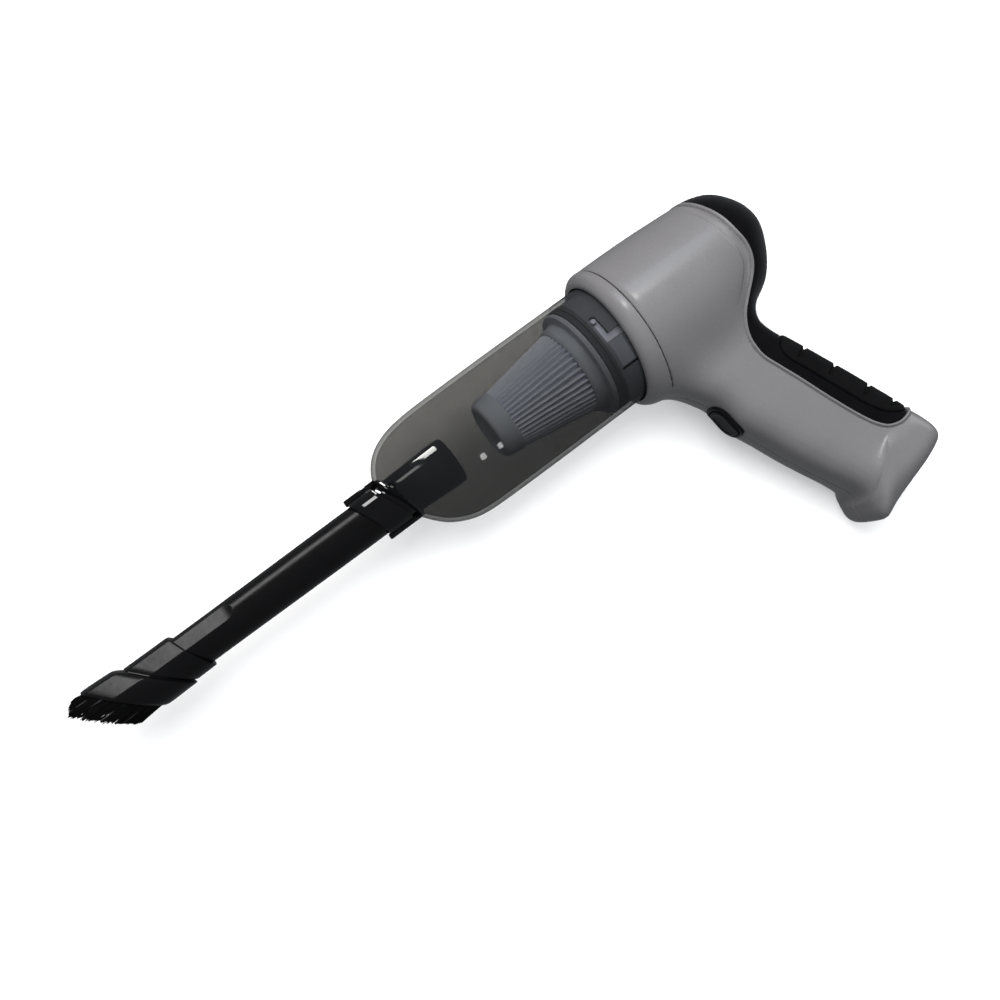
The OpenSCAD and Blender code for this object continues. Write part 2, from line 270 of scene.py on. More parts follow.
def surface_nets(F, lo, hi, h):
    """Triangles of F = 0."""
    lo = np.array(lo, float)
    n = np.ceil((np.array(hi) - lo) / h).astype(int) + 1
    ax = [lo[i] + np.arange(n[i]) * h for i in range(3)]
    V = np.empty(n)
    g = np.stack(np.meshgrid(ax[0], ax[1], indexing="ij"), -1).reshape(-1, 2)
    for k in range(n[2]):
        V[:, :, k] = F(np.c_[g, np.full(len(g), ax[2][k])]).reshape(n[0], n[1])
    S = V < 0
    m = n - 1
    cnt = np.zeros(m)
    pos = np.zeros(tuple(m) + (3,))

    def sub(A, o):
        return A[o[0]:o[0] + m[0], o[1]:o[1] + m[1], o[2]:o[2] + m[2]]
    for o in [(i, j, k) for i in (0, 1) for j in (0, 1) for k in (0, 1)]:
        for d in range(3):
            if o[d] == 0:
                o2 = list(o)
                o2[d] = 1
                a, b = sub(V, o), sub(V, o2)
                c = (a < 0) != (b < 0)
                t = np.where(c, a / np.where(c, a - b, 1), 0)
                cnt += c
                for e in range(3):
                    pos[..., e] += np.where(c, o[e] + (t if e == d else 0), 0)
    act = cnt > 0
    idx = -np.ones(m, int)
    idx[act] = np.arange(act.sum())
    verts = lo + (np.argwhere(act) + pos[act] / cnt[act][:, None]) * h
    quads = []
    for d in range(3):
        u, v = [(1, 2), (2, 0), (0, 1)][d]
        s0, s1 = [slice(None)] * 3, [slice(None)] * 3
        s0[d], s1[d] = slice(0, -1), slice(1, None)
        E = np.argwhere(S[tuple(s0)] != S[tuple(s1)])
        E = E[(E[:, u] > 0) & (E[:, v] > 0) & (E[:, u] < m[u]) & (E[:, v] < m[v])]

        def cell(du, dv):
            C = E.copy()
            C[:, u] -= du
            C[:, v] -= dv
            return idx[C[:, 0], C[:, 1], C[:, 2]]
        q = np.stack([cell(1, 1), cell(0, 1), cell(0, 0), cell(1, 0)], 1)
        flip = ~S[E[:, 0], E[:, 1], E[:, 2]]
        q[flip] = q[flip][:, ::-1]
        quads.append(q)
    q = np.concatenate(quads)
    d1 = np.linalg.norm(verts[q[:, 0]] - verts[q[:, 2]], axis=1)
    d2 = np.linalg.norm(verts[q[:, 1]] - verts[q[:, 3]], axis=1)
    s = d1 <= d2
    tri = np.concatenate([q[s][:, [0, 1, 2]], q[s][:, [0, 2, 3]], q[~s][:, [0, 1, 3]], q[~s][:, [1, 2, 3]]])
    return verts, tri


# ------------------------------------------------------------------ triangle tools
def edges_of(T, nv):
    a = np.stack([T, np.roll(T, -1, 1)], -1).reshape(-1, 2)
    a = np.sort(a, 1)
    key = a[:, 0].astype(np.int64) * nv + a[:, 1]
    u, inv = np.unique(key, return_inverse=True)
    return np.stack([u // nv, u % nv], 1), inv.reshape(-1, 3)


def refine(V, T, target, proj, passes):
    """Splits edges longer than target(point) in half."""
    for _ in range(passes):
        U, TE = edges_of(T, len(V))
        mid = (V[U[:, 0]] + V[U[:, 1]]) / 2
        mark = np.linalg.norm(V[U[:, 0]] - V[U[:, 1]], axis=1) > target(mid)
        if not mark.any():
            break
        while True:
            two = mark[TE].sum(1) == 2
            if not two.any():
                break
            mark[TE[two].ravel()] = True
        idx = -np.ones(len(U), int)
        idx[mark] = len(V) + np.arange(mark.sum())
        V = np.concatenate([V, proj(mid[mark])])
        M = idx[TE]
        c = (M >= 0).sum(1)
        out = [T[c == 0]]
        t, m = T[c == 3], M[c == 3]
        out += [np.stack([t[:, 0], m[:, 0], m[:, 2]], 1), np.stack([m[:, 0], t[:, 1], m[:, 1]], 1),
                np.stack([m[:, 2], m[:, 1], t[:, 2]], 1), m]
        for k in range(3):
            one = (c == 1) & (M[:, k] >= 0)
            t, mm = np.roll(T[one], -k, 1), M[one][:, k]
            out += [np.stack([t[:, 0], mm, t[:, 2]], 1), np.stack([mm, t[:, 1], t[:, 2]], 1)]
        T = np.concatenate(out)
    return V, T


def cut(V, T, f, fix, snap=0.22):
    """Splits triangles along f = 0; fix(points) puts points on that line and on the surface."""
    V = V.copy()
    d = f(V)
    U, TE = edges_of(T, len(V))
    L = np.linalg.norm(V[U[:, 0]] - V[U[:, 1]], axis=1)
    near = np.full(len(V), 1e9)
    np.minimum.at(near, U[:, 0], L)
    np.minimum.at(near, U[:, 1], L)
    hit = np.abs(d) < snap * near
    if hit.any():
        V[hit] = fix(V[hit])
        d[hit] = 0
    a, b = d[U[:, 0]], d[U[:, 1]]
    cross = a * b < 0
    t = a[cross] / (a[cross] - b[cross])
    P = V[U[cross, 0]] * (1 - t[:, None]) + V[U[cross, 1]] * t[:, None]
    idx = -np.ones(len(U), int)
    idx[cross] = len(V) + np.arange(cross.sum())
    if len(P):
        V = np.concatenate([V, fix(P)])
    M = idx[TE]
    c = (M >= 0).sum(1)
    out = [T[c == 0]]
    for k in range(3):
        one = (c == 1) & (M[:, k] >= 0)
        tt, mm = np.roll(T[one], -k, 1), M[one][:, k]
        out += [np.stack([tt[:, 0], mm, tt[:, 2]], 1), np.stack([mm, tt[:, 1], tt[:, 2]], 1)]
        two = (c == 2) & (M[:, k] < 0)
        tt, mm = np.roll(T[two], -k, 1), np.roll(M[two], -k, 1)
        p, q = mm[:, 1], mm[:, 2]          # cuts on edges 1-2 and 2-0
        out.append(np.stack([p, tt[:, 2], q], 1))
        s = np.linalg.norm(V[tt[:, 0]] - V[p], axis=1) < np.linalg.norm(V[tt[:, 1]] - V[q], axis=1)
        out += [np.stack([tt[s, 0], tt[s, 1], p[s]], 1), np.stack([tt[s, 0], p[s], q[s]], 1),
                np.stack([tt[~s, 0], tt[~s, 1], q[~s]], 1), np.stack([tt[~s, 1], p[~s], q[~s]], 1)]
    return V, np.concatenate(out)


def thicken(T, mask, outer, inner):
    """Closed shell of the masked triangles between two skins."""
    t = T[mask]
    ids, inv = np.unique(t, return_inverse=True)
    t = inv.reshape(-1, 3)
    n = len(ids)
    V = np.concatenate([outer[ids], inner[ids]])
    E = np.stack([t, np.roll(t, -1, 1)], -1).reshape(-1, 2)
    have = set(map(tuple, E))
    B = np.array([e for e in map(tuple, E) if (e[1], e[0]) not in have], int).reshape(-1, 2)
    a, b = B[:, 0], B[:, 1]
    return V, np.concatenate([t, t[:, ::-1] + n, np.stack([b, a, a + n], 1), np.stack([b, a + n, b + n], 1)])


def join(*parts):
    V, F, k = [], [], 0
    for v, f in parts:
        V.append(np.asarray(v, float))
        F += [tuple(int(i) + k for i in face) for face in f]
        k += len(v)
    return np.concatenate(V), F


def mesh(name, V, F, mats, body, node=None, slot=None, angle=38, pick=None, outward=False):
    """Adds a piece from points in tool millimetres."""
    me = bpy.data.meshes.new(name)
    P = row(V)
    P[:, 2] = np.maximum(P[:, 2], 0.0)
    me.from_pydata(P.tolist(), [], [tuple(int(i) for i in f) for f in F])
    me.validate()
    for m in mats if isinstance(mats, (list, tuple)) else [mats]:
        me.materials.append(m)
    me.polygons.foreach_set("use_smooth", np.ones(len(me.polygons), bool))
    if pick is not None:
        me.polygons.foreach_set("material_index", np.asarray(pick, np.int32))
    if outward:
        bm = bmesh.new()
        bm.from_mesh(me)
        bmesh.ops.recalc_face_normals(bm, faces=bm.faces)
        bm.to_mesh(me)
        bm.free()
    me.update()
    me.set_sharp_from_angle(angle=math.radians(angle))
    o = bpy.data.objects.new(name, me)
    bpy.context.scene.collection.objects.link(o)
    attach(o, body)
    if node:
        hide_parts(*([node] if isinstance(node, str) else node))
    return o


# ------------------------------------------------------------------ materials
def material(name, color, rough, grain=0.0, grain_mm=0.5, mottle=0.06, mottle_mm=9.0, rough_var=0.06,
             spec=0.5, coat=0.0, coat_rough=0.05, metal=0.0, sheen=0.0, streak=None):
    """Moulded-plastic style material: uneven tone, uneven gloss and a fine surface grain."""
    m = bpy.data.materials.new(name)
    m.use_nodes = True
    nt = m.node_tree
    p = nt.nodes["Principled BSDF"]
    p.inputs["Specular IOR Level"].default_value = spec
    p.inputs["Metallic"].default_value = metal
    p.inputs["Coat Weight"].default_value = coat
    p.inputs["Coat Roughness"].default_value = coat_rough
    p.inputs["Sheen Weight"].default_value = sheen
    tc = nt.nodes.new("ShaderNodeTexCoord")
    mp = nt.nodes.new("ShaderNodeMapping")
    nt.links.new(tc.outputs["Object"], mp.inputs["Vector"])
    if streak:
        mp.inputs["Scale"].default_value = streak
    big = nt.nodes.new("ShaderNodeTexNoise")
    big.inputs["Scale"].default_value = 1000.0 / mottle_mm
    big.inputs["Detail"].default_value = 4.0
    nt.links.new(mp.outputs["Vector"], big.inputs["Vector"])
    ramp = nt.nodes.new("ShaderNodeValToRGB")
    lo = [c * (1 - mottle) for c in color]
    hi = [c * (1 + mottle) for c in color]
    ramp.color_ramp.elements[0].position = 0.3
    ramp.color_ramp.elements[1].position = 0.7
    ramp.color_ramp.elements[0].color = (*lo, 1)
    ramp.color_ramp.elements[1].color = (*hi, 1)
    nt.links.new(big.outputs["Fac"], ramp.inputs["Fac"])
    nt.links.new(ramp.outputs["Color"], p.inputs["Base Color"])
    mid = nt.nodes.new("ShaderNodeTexNoise")
    mid.inputs["Scale"].default_value = 1000.0 / (mottle_mm * 0.31)
    mid.inputs["Detail"].default_value = 6.0
    nt.links.new(mp.outputs["Vector"], mid.inputs["Vector"])
    rr = nt.nodes.new("ShaderNodeMapRange")
    rr.inputs["From Min"].default_value = 0.3
    rr.inputs["From Max"].default_value = 0.7
    rr.inputs["To Min"].default_value = max(rough - rough_var, 0.02)
    rr.inputs["To Max"].default_value = rough + rough_var
    nt.links.new(mid.outputs["Fac"], rr.inputs["Value"])
    nt.links.new(rr.outputs["Result"], p.inputs["Roughness"])
    if grain > 0:
        fine = nt.nodes.new("ShaderNodeTexNoise")
        fine.inputs["Scale"].default_value = 1000.0 / grain_mm
        fine.inputs["Detail"].default_value = 2.0
        nt.links.new(mp.outputs["Vector"], fine.inputs["Vector"])
        b = nt.nodes.new("ShaderNodeBump")
        b.inputs["Strength"].default_value = grain
        b.inputs["Distance"].default_value = grain_mm * 0.0004
        nt.links.new(fine.outputs["Fac"], b.inputs["Height"])
        nt.links.new(b.outputs["Normal"], p.inputs["Normal"])
    return m


M_SHELL = material("shell_grey", (0.207, 0.202, 0.211), 0.27, grain=0.08, grain_mm=0.35, mottle=0.02,
                   mottle_mm=16, rough_var=0.025, spec=0.5)
M_COVER = material("black_cover", (0.0045, 0.0045, 0.0055), 0.24, grain=0.12, grain_mm=0.4, mottle=0.2,
                   rough_var=0.05, spec=0.10)
M_GRIP = material("black_grip", (0.006, 0.006, 0.0065), 0.5, grain=0.7, grain_mm=0.45, mottle=0.15, rough_var=0.08,
                  spec=0.10)
M_TRIM = material("black_trim", (0.005, 0.005, 0.006), 0.30, grain=0.2, grain_mm=0.3, mottle=0.2, spec=0.16)
M_DARK = material("dark_plastic", (0.03, 0.03, 0.033), 0.5, grain=0.3, mottle=0.1)
M_STEEL = material("steel", (0.55, 0.55, 0.56), 0.32, metal=1.0, grain=0.2, grain_mm=0.2, mottle=0.08, mottle_mm=3)
M_NECK = material("neck_grey", (0.11, 0.115, 0.13), 0.42, grain=0.3, grain_mm=0.4, mottle=0.05)
M_FRAME = material("filter_plastic", (0.56, 0.59, 0.66), 0.42, grain=0.25, grain_mm=0.4, mottle=0.03)
M_CLOTH = material("filter_cloth", (0.74, 0.77, 0.86), 0.85, grain=0.9, grain_mm=0.22, mottle=0.05, mottle_mm=2.5,
                   spec=0.15, sheen=0.2)
M_SEAL = material("seal_grey", (0.11, 0.115, 0.135), 0.5, grain=0.3, grain_mm=0.3, mottle=0.08, spec=0.3)
M_RUBBER = material("rubber", (0.016, 0.016, 0.017), 0.62, grain=0.5, grain_mm=0.3, mottle=0.15, spec=0.3)
M_GLOSS = material("black_gloss", (0.003, 0.003, 0.0035), 0.03, grain=0.004, grain_mm=0.8, mottle=0.2, rough_var=0.01,
                   spec=0.36)
M_TUBE = material("black_tube", (0.003, 0.003, 0.0034), 0.24, grain=0.10, grain_mm=0.6, mottle=0.2, rough_var=0.04,
                  spec=0.25)
M_BRISTLE = material("bristle", (0.003, 0.003, 0.003), 0.5, grain=0.2, grain_mm=0.3, mottle=0.3, mottle_mm=1.0, spec=0.12)
M_PALE = material("bristle_pale", (0.055, 0.056, 0.06), 0.4, grain=0.2, grain_mm=0.3, mottle=0.2, mottle_mm=1.0, spec=0.4)
M_BOARD = material("board", (0.02, 0.12, 0.05), 0.38, grain=0.3, grain_mm=0.8, mottle=0.25, mottle_mm=1.6)
M_WIRE = material("wire", (0.35, 0.02, 0.02), 0.4, grain=0.2, mottle=0.06)
M_CELL = material("cell", (0.03, 0.12, 0.25), 0.3, grain=0.2, grain_mm=0.8, mottle=0.05)
M_MAGNET = material("magnet", (0.06, 0.06, 0.06), 0.6, grain=0.6, grain_mm=0.25, mottle=0.2, mottle_mm=1.5)
M_BRONZE = material("bronze", (0.5, 0.32, 0.14), 0.35, metal=1.0, grain=0.3, grain_mm=0.2, mottle=0.1, mottle_mm=1.5)
M_FOAM = material("foam", (0.05, 0.05, 0.052), 0.95, grain=1.0, grain_mm=1.2, mottle=0.4, mottle_mm=1.4, spec=0.1)


def smoked(name, tint, haze, rough, edge=0.35, shine=0.25, painted_shade_y=None):
    """Clear tinted plastic: what lies behind shows darker, most of all where the wall is seen edge on. Given a range
    of object heights, it darkens towards the bottom instead of edge on: painted shade standing in for the shadow seen
    through the wall.
    """
    m = bpy.data.materials.new(name)
    m.use_nodes = True
    nt = m.node_tree
    nt.nodes.remove(nt.nodes["Principled BSDF"])
    out = nt.nodes["Material Output"]
    see = nt.nodes.new("ShaderNodeBsdfTransparent")
    gloss = nt.nodes.new("ShaderNodeBsdfGlossy")
    gloss.inputs["Color"].default_value = (1, 1, 1, 1)
    milk = nt.nodes.new("ShaderNodeBsdfDiffuse")
    milk.inputs["Color"].default_value = (0.32, 0.34, 0.39, 1)
    tc = nt.nodes.new("ShaderNodeTexCoord")
    soft = nt.nodes.new("ShaderNodeTexNoise")
    soft.inputs["Scale"].default_value = 55.0
    soft.inputs["Detail"].default_value = 5.0
    nt.links.new(tc.outputs["Object"], soft.inputs["Vector"])
    hz = nt.nodes.new("ShaderNodeMapRange")
    hz.inputs["From Min"].default_value = 0.3
    hz.inputs["From Max"].default_value = 0.7
    hz.inputs["To Min"].default_value = haze * 0.75
    hz.inputs["To Max"].default_value = haze * 1.25
    nt.links.new(soft.outputs["Fac"], hz.inputs["Value"])
    rg = nt.nodes.new("ShaderNodeMapRange")
    rg.inputs["From Min"].default_value = 0.3
    rg.inputs["From Max"].default_value = 0.7
    rg.inputs["To Min"].default_value = rough * 0.7
    rg.inputs["To Max"].default_value = rough * 1.3
    nt.links.new(soft.outputs["Fac"], rg.inputs["Value"])
    nt.links.new(rg.outputs["Result"], gloss.inputs["Roughness"])
    fine = nt.nodes.new("ShaderNodeTexNoise")
    fine.inputs["Scale"].default_value = 90.0
    nt.links.new(tc.outputs["Object"], fine.inputs["Vector"])
    bump = nt.nodes.new("ShaderNodeBump")
    bump.inputs["Strength"].default_value = 0.0008
    bump.inputs["Distance"].default_value = 0.0004
    nt.links.new(fine.outputs["Fac"], bump.inputs["Height"])
    nt.links.new(bump.outputs["Normal"], gloss.inputs["Normal"])
    lw = nt.nodes.new("ShaderNodeLayerWeight")
    lw.inputs["Blend"].default_value = 0.5
    pw = nt.nodes.new("ShaderNodeMath")
    pw.operation = "POWER"
    pw.inputs[1].default_value = 5.0
    nt.links.new(lw.outputs["Facing"], pw.inputs[0])
    deep = nt.nodes.new("ShaderNodeValToRGB")
    deep.color_ramp.elements[0].position = 0.55
    deep.color_ramp.elements[1].position = 1.0
    deep.color_ramp.elements[0].color = (*tint, 1)
    deep.color_ramp.elements[1].color = (*[c * edge for c in tint], 1)
    # Darker towards the bottom of the cup (low object Y): painted shade standing in for the shadow seen through the
    # cup, in place of the edge-on darkening.
    if painted_shade_y:
        apart = nt.nodes.new("ShaderNodeSeparateXYZ")
        nt.links.new(tc.outputs["Object"], apart.inputs["Vector"])
        side = nt.nodes.new("ShaderNodeMapRange")
        side.inputs["From Min"].default_value, side.inputs["From Max"].default_value = painted_shade_y
        nt.links.new(apart.outputs["Y"], side.inputs["Value"])
        nt.links.new(side.outputs["Result"], deep.inputs["Fac"])
        deep.color_ramp.elements[0].position = 0.0
    else:
        nt.links.new(lw.outputs["Facing"], deep.inputs["Fac"])
    nt.links.new(deep.outputs["Color"], see.inputs["Color"])
    fr = nt.nodes.new("ShaderNodeMapRange")
    fr.inputs["To Min"].default_value = 0.04 if shine else 0.0
    fr.inputs["To Max"].default_value = shine
    nt.links.new(pw.outputs["Value"], fr.inputs["Value"])
    a = nt.nodes.new("ShaderNodeMixShader")
    nt.links.new(fr.outputs["Result"], a.inputs["Fac"])
    nt.links.new(see.outputs["BSDF"], a.inputs[1])
    nt.links.new(gloss.outputs["BSDF"], a.inputs[2])
    b = nt.nodes.new("ShaderNodeMixShader")
    nt.links.new(hz.outputs["Result"], b.inputs["Fac"])
    nt.links.new(a.outputs["Shader"], b.inputs[1])
    nt.links.new(milk.outputs["BSDF"], b.inputs[2])
    nt.links.new(b.outputs["Shader"], out.inputs["Surface"])
    return m


M_SMOKE = smoked("smoke", (0.535, 0.535, 0.53), 0.020, 0.02, edge=0.50, shine=0.2)
# Inner wall of the cup: its see-through tint is painted darker towards the bottom, a painted shade for the shadow
# behind it.
M_SMOKE_IN_PAINTED_SHADE = smoked("smoke_inside_painted_shade", (0.55, 0.545, 0.53), 0.0, 0.05, edge=0.72, shine=0.0, painted_shade_y=(0.068, 0.030))
M_RIM = smoked("smoke_rim", (0.535, 0.535, 0.53), 0.075, 0.04, edge=0.12, shine=0.2)
M_FROST = smoked("smoke_frosted", (0.55, 0.56, 0.58), 0.15, 0.30)

# ------------------------------------------------------------------ case: fields on its surface
CASE = Body()
COVER_LINE = [(61.8, 60), (62.2, 44), (63, 36), (64, 31.2), (65.4, 19.9), (66.4, 12.2), (67, 5.2), (68.2, -1.6),
              (67.8, -7.1), (66.3, -11.6), (63.7, -15.3), (60.2, -18.9), (56.7, -22.4), (53, -26.6), (50, -32.5),
              (48.4, -38.9), (48.6, -46.8), (51.6, -54.6), (55.7, -64.3), (62.3, -81), (68.5, -95.2), (72.4, -102.6),
              (76, -106.6), (81.2, -108.4), (87, -108.0), (95, -106.6), (112, -104)]
cover_poly = np.concatenate([catmull(COVER_LINE, 10), [(125, -104), (125, 60)]])
_g = Grid2(30, -130, 0.5, grid_of(cover_poly, (30, -130), (112, 62), 0.5))
PAD_LINE = [(68.4, 64), (68.3, 50), (68.0, 43), (67.3, 38), (68.3, 33.5), (72.5, 30.4), (84, 29.9), (102, 29.6),
            (119, 29.7), (126.5, 31.4), (132, 35.5), (134.9, 41), (135.4, 50), (135.4, 64)]
_p = Grid2(56, 20, 0.5, grid_of(catmull(PAD_LINE, 10), (56, 20), (150, 60), 0.5))
CREASE = catmull([(116, -78), (98, -90), (84, -100.5), (77, -105.8), (73, -109), (69.9, -112.6), (65.2, -116.6),
                  (60.2, -120.3), (53.4, -127.2), (49.2, -132.2), (47.6, -138), (48.2, -156)], 8)


def f_cover(p):
    """Above zero on the dark cover."""
    return _g(np.clip(p[:, 0], 32, 110), np.clip(p[:, 1], -128, 60))


def f_pad(p):
    s, q = p[:, :2] @ H, p[:, :2] @ N
    return _p(np.clip(s, 57, 148), np.clip(q, 21, 58))


def f_crease(p):
    """Signed distance to the crease of the foot, above zero on the foot's end."""
    a, b = CREASE[:-1], CREASE[1:]
    out = np.full(len(p), -99.0)
    k = np.nonzero(p[:, 1] < -92)[0]
    for i in range(0, len(k), 4000):
        j = k[i:i + 4000]
        w = p[j, None, :2] - a[None]
        e = (b - a)[None]
        t = np.clip((w * e).sum(-1) / (e * e).sum(-1), 0, 1)
        r = w - t[..., None] * e
        d = np.hypot(r[..., 0], r[..., 1])
        m = d.argmin(1)
        ii = np.arange(len(j))
        side = e[0, m, 0] * w[ii, m, 1] - e[0, m, 1] * w[ii, m, 0]
        out[j] = d[ii, m] * np.where(side > 0, 1, -1)
    return out


BTN_S, BTN_A, BTN_B = 65.6, 9.7, 9.2       # place, half length and half width of the button's rim


def f_button(p):
    """Below zero inside the opening for the button, on the front of the grip."""
    s, q, z = p[:, :2] @ H - BTN_S, p[:, :2] @ N, p[:, 2]
    a, b, r = BTN_A - 0.5, BTN_B - 0.5, 7.8
    dx, dy = np.abs(s) - (a - r), np.abs(z) - (b - r)
    d = np.hypot(np.maximum(dx, 0), np.maximum(dy, 0)) + np.minimum(np.maximum(dx, dy), 0) - r
    return np.where(q < 12, d, 30.0)


SCREWS = [(54, 26), (42, -44), (61.5, -131), (87, -119.5)]


def f_screw(p):
    d = np.min([np.hypot(p[:, 0] - a, p[:, 1] - b) for a, b in SCREWS], axis=0) - 3.3
    return np.where(p[:, 2] < -4, d, 30.0)


def f_port(p):
    s, q, z = p[:, :2] @ H, p[:, :2] @ N, p[:, 2]
    dx, dy = np.abs(q - 16) - 4.6, np.abs(z) - 2.2
    d = np.hypot(np.maximum(dx, 0), np.maximum(dy, 0)) + np.minimum(np.maximum(dx, dy), 0) - 1.6
    return np.where(s > 148, d, 30.0)


SLOTS = [14 + 4.6 * i for i in range(-2, 3)]


def f_slots(p):
    d = np.full(len(p), 30.0)
    for i, y in enumerate(SLOTS):
        half = [6.4, 7.8, 8.2, 7.8, 6.4][i]
        d = np.minimum(d, np.hypot(np.maximum(np.abs(p[:, 2]) - half, 0), p[:, 1] - y) - 1.05)
    return np.where(p[:, 0] > 70, d, 30.0)


def on_surface(f):
    """Makes a fix() for a field: slides points along the surface to f = 0."""
    def fix(P):
        P = P.copy()
        for _ in range(3):
            n = CASE.normal(P)
            v = f(P)
            g = np.empty_like(P)
            for i in range(3):
                d = np.zeros(3)
                d[i] = 0.05
                g[:, i] = (f(P + d) - f(P - d)) / 0.1
            g -= (g * n).sum(1)[:, None] * n
            P = P - np.clip(v / np.maximum((g * g).sum(1), 0.05), -1, 1)[:, None] * g
            P = CASE.project(P, 1)
        return P
    return fix


def flat(axis, value):
    def fix(P):
        P = P.copy()
        P[:, axis] = value
        k = np.ones(3)
        k[axis] = 0
        return CASE.project(P, 3, keep=k)
    return fix


def spread(f, p, n):
    """Field turned into a distance along the surface."""
    g = np.empty_like(p)
    for i in range(3):
        d = np.zeros(3)
        d[i] = 0.08
        g[:, i] = (f(p + d) - f(p - d)) / 0.16
    g -= (g * n).sum(1)[:, None] * n
    return f(p) / np.clip(np.linalg.norm(g, axis=1), 0.35, 1.5)


SEAM = 6.8
FRONT = -3.2


def wanted(p):
    """Longest edge wanted at a point."""
    t = np.full(len(p), 2.6)
    fc = f_cover(p)
    t = np.where((fc > -4.0) & (fc < 1.6), 0.62, t)
    t = np.where((fc > -2.7) & (fc < 0.6), 0.34, t)
    t = np.where((fc > -9) & (fc < -3) & (p[:, 1] > -24) & (p[:, 1] < 34), 0.5, t)
    t = np.where(np.abs(p[:, 0] - SEAM) < 1.2, np.minimum(t, 0.5), t)
    t = np.where(p[:, 0] < SEAM, np.minimum(t, 0.8), t)
    t = np.where(np.abs(p[:, 2]) < 1.2, np.minimum(t, 0.5), t)
    fp = f_pad(p)
    t = np.where((fp > -2) & (fp < 2.2), np.minimum(t, 0.5), t)
    t = np.where(fp > 0, np.minimum(t, 0.8), t)
    fs = np.abs(p[:, 0]) * 0 + 9
    for f in (f_button, f_screw, f_port, f_slots):
        fs = np.minimum(fs, np.abs(f(p)))
    t = np.where(fs < 1.2, np.minimum(t, 0.5), t)
    t = np.where(np.abs(f_crease(p)) < 3, np.minimum(t, 0.55), t)
    t = np.where(p[:, :2] @ H > 138, np.minimum(t, 1.1), t)
    return t * 1.25


V, T = surface_nets(CASE.F, (-7, -150, -38), (102, 40, 38), 2.2)
V = CASE.project(V, 4)
V, T = refine(V, T, wanted, lambda p: CASE.project(p, 2), 3)
V, T = cut(V, T, lambda p: p[:, 0] - FRONT, flat(0, FRONT))
T = T[V[T].mean(1)[:, 0] > FRONT]
V, T = cut(V, T, lambda p: p[:, 2], flat(2, 0.0))
V, T = cut(V, T, lambda p: p[:, 0] - SEAM, flat(0, SEAM))
V, T = cut(V, T, f_cover, on_surface(f_cover))
V, T = cut(V, T, f_pad, on_surface(f_pad))
for f in (f_button, f_screw, f_port, f_slots):
    V, T = cut(V, T, f, on_surface(f))
V, T = cut(V, T, f_crease, on_surface(f_crease), 0.15)
keep = np.unique(T)
back_to = np.full(len(V), -1)
back_to[keep] = np.arange(len(keep))
V, T = V[keep], back_to[T]
area = np.linalg.norm(np.cross(V[T[:, 1]] - V[T[:, 0]], V[T[:, 2]] - V[T[:, 0]]), axis=1)
T = T[area > 1e-7]
C = V[T].mean(1)
c_cover, c_pad = f_cover(C) > 0, f_pad(C) > 0
hole = (f_button(C) < 0) | (f_screw(C) < 0) | (f_port(C) < 0) | (f_slots(C) < 0)
is_collar = C[:, 0] < SEAM
is_pad = ~is_collar & c_cover & c_pad & ~hole
is_cover = ~is_collar & c_cover & ~c_pad & ~hole
is_left = ~is_collar & ~c_cover & (C[:, 2] > 0) & ~hole
is_right = ~is_collar & ~c_cover & (C[:, 2] < 0) & ~hole

NRM = CASE.normal(V)
S_, Q_ = V[:, :2] @ H, V[:, :2] @ N
d_cover = spread(f_cover, V, NRM)
d_pad = spread(f_pad, V, NRM)
ang = np.degrees(np.arctan2(V[:, 1], V[:, 2]))
crease = f_crease(V)

# shells: bead and groove beside the cover, shoulder near the dome, crease of the foot
b = np.maximum(-d_cover, 0)
wide = 1.25 + 0.5 * smooth(-16, 6, V[:, 1])
u = b / wide
bead = np.where(u < 1, 0.72 * np.sqrt(np.maximum(1 - (2 * u - 1) ** 2, 0)), 0.0) - 0.12 * (u < 0.02)
v = (b - wide) / 0.75
groove = np.where((v > 0) & (v < 1), -0.6 * np.sin(np.pi * np.clip(v, 0, 1)), 0.0)
crown = 1 - 0.85 * smooth(30.5, 34.0, V[:, 1])
bead, groove = bead * crown, groove * crown
near_dome = smooth(-24, -10, V[:, 1]) * (1 - smooth(20, 33, V[:, 1]))
shoulder = -0.8 * (1 - smooth(5.2, 7.0, b)) * smooth(1.9, 3.6, b) * near_dome
ridge_w = smooth(109, 116, -V[:, 1])
ridge = 1.9 * ridge_w * np.where(crease > 0, np.exp(-np.abs(crease) / 8.0), np.exp(-np.abs(crease) / 2.0))
ridge = np.where(np.abs(crease) < 40, ridge, 0)
h_shell = bead + groove + shoulder + ridge
zed = np.abs(V[:, 2])
h_shell += np.where(zed < 0.55, -0.35 * (1 - zed / 0.55), 0) * (d_cover < -0.3)
seam_on = smooth(-72, -66, np.where(ang < -90, -180 - ang, np.where(ang > 90, 180 - ang, ang)))
ds = np.abs(V[:, 0] - SEAM)
seam_cut = -0.6 * np.sqrt(np.maximum(1 - np.minimum(ds / 0.75, 1), 0)) * seam_on
h_shell += seam_cut
for f, w in ((f_button, 0.4), (f_screw, 0.5), (f_port, 0.5)):
    dd = np.abs(f(V))
    h_shell += np.where(dd < w, -0.3 * (1 - dd / w), 0)
shell_out = V + NRM * h_shell[:, None]
shell_out[:, 0] += np.where(ds < 1e-6, 0.26 * seam_on, 0)
shell_in = V - NRM * (2.4 - np.minimum(h_shell, 0)[:, None] * -0.2)

# cover: dropped below the bead, lower again beside the pad
b = np.maximum(d_cover, 0)
beside = smooth(58, 70, S_) * (1 - smooth(130, 137, S_))
h_cover = -0.5 * (1 - smooth(0.0, 4.0, b)) * (1 - beside) - 0.8 * beside
h_cover -= 0.25 * (1 - np.minimum(b / 0.4, 1))
h_cover -= np.where((d_pad < 0) & (d_pad > -1.1), 0.9 * (1 + d_pad / 1.1), 0) * (1 - beside * 0.6)
dd = np.abs(f_slots(V))
h_cover -= np.where(dd < 0.6, 0.4 * (1 - dd / 0.6), 0)
cover_out = V + NRM * h_cover[:, None]
cover_in = V - NRM * 3.0

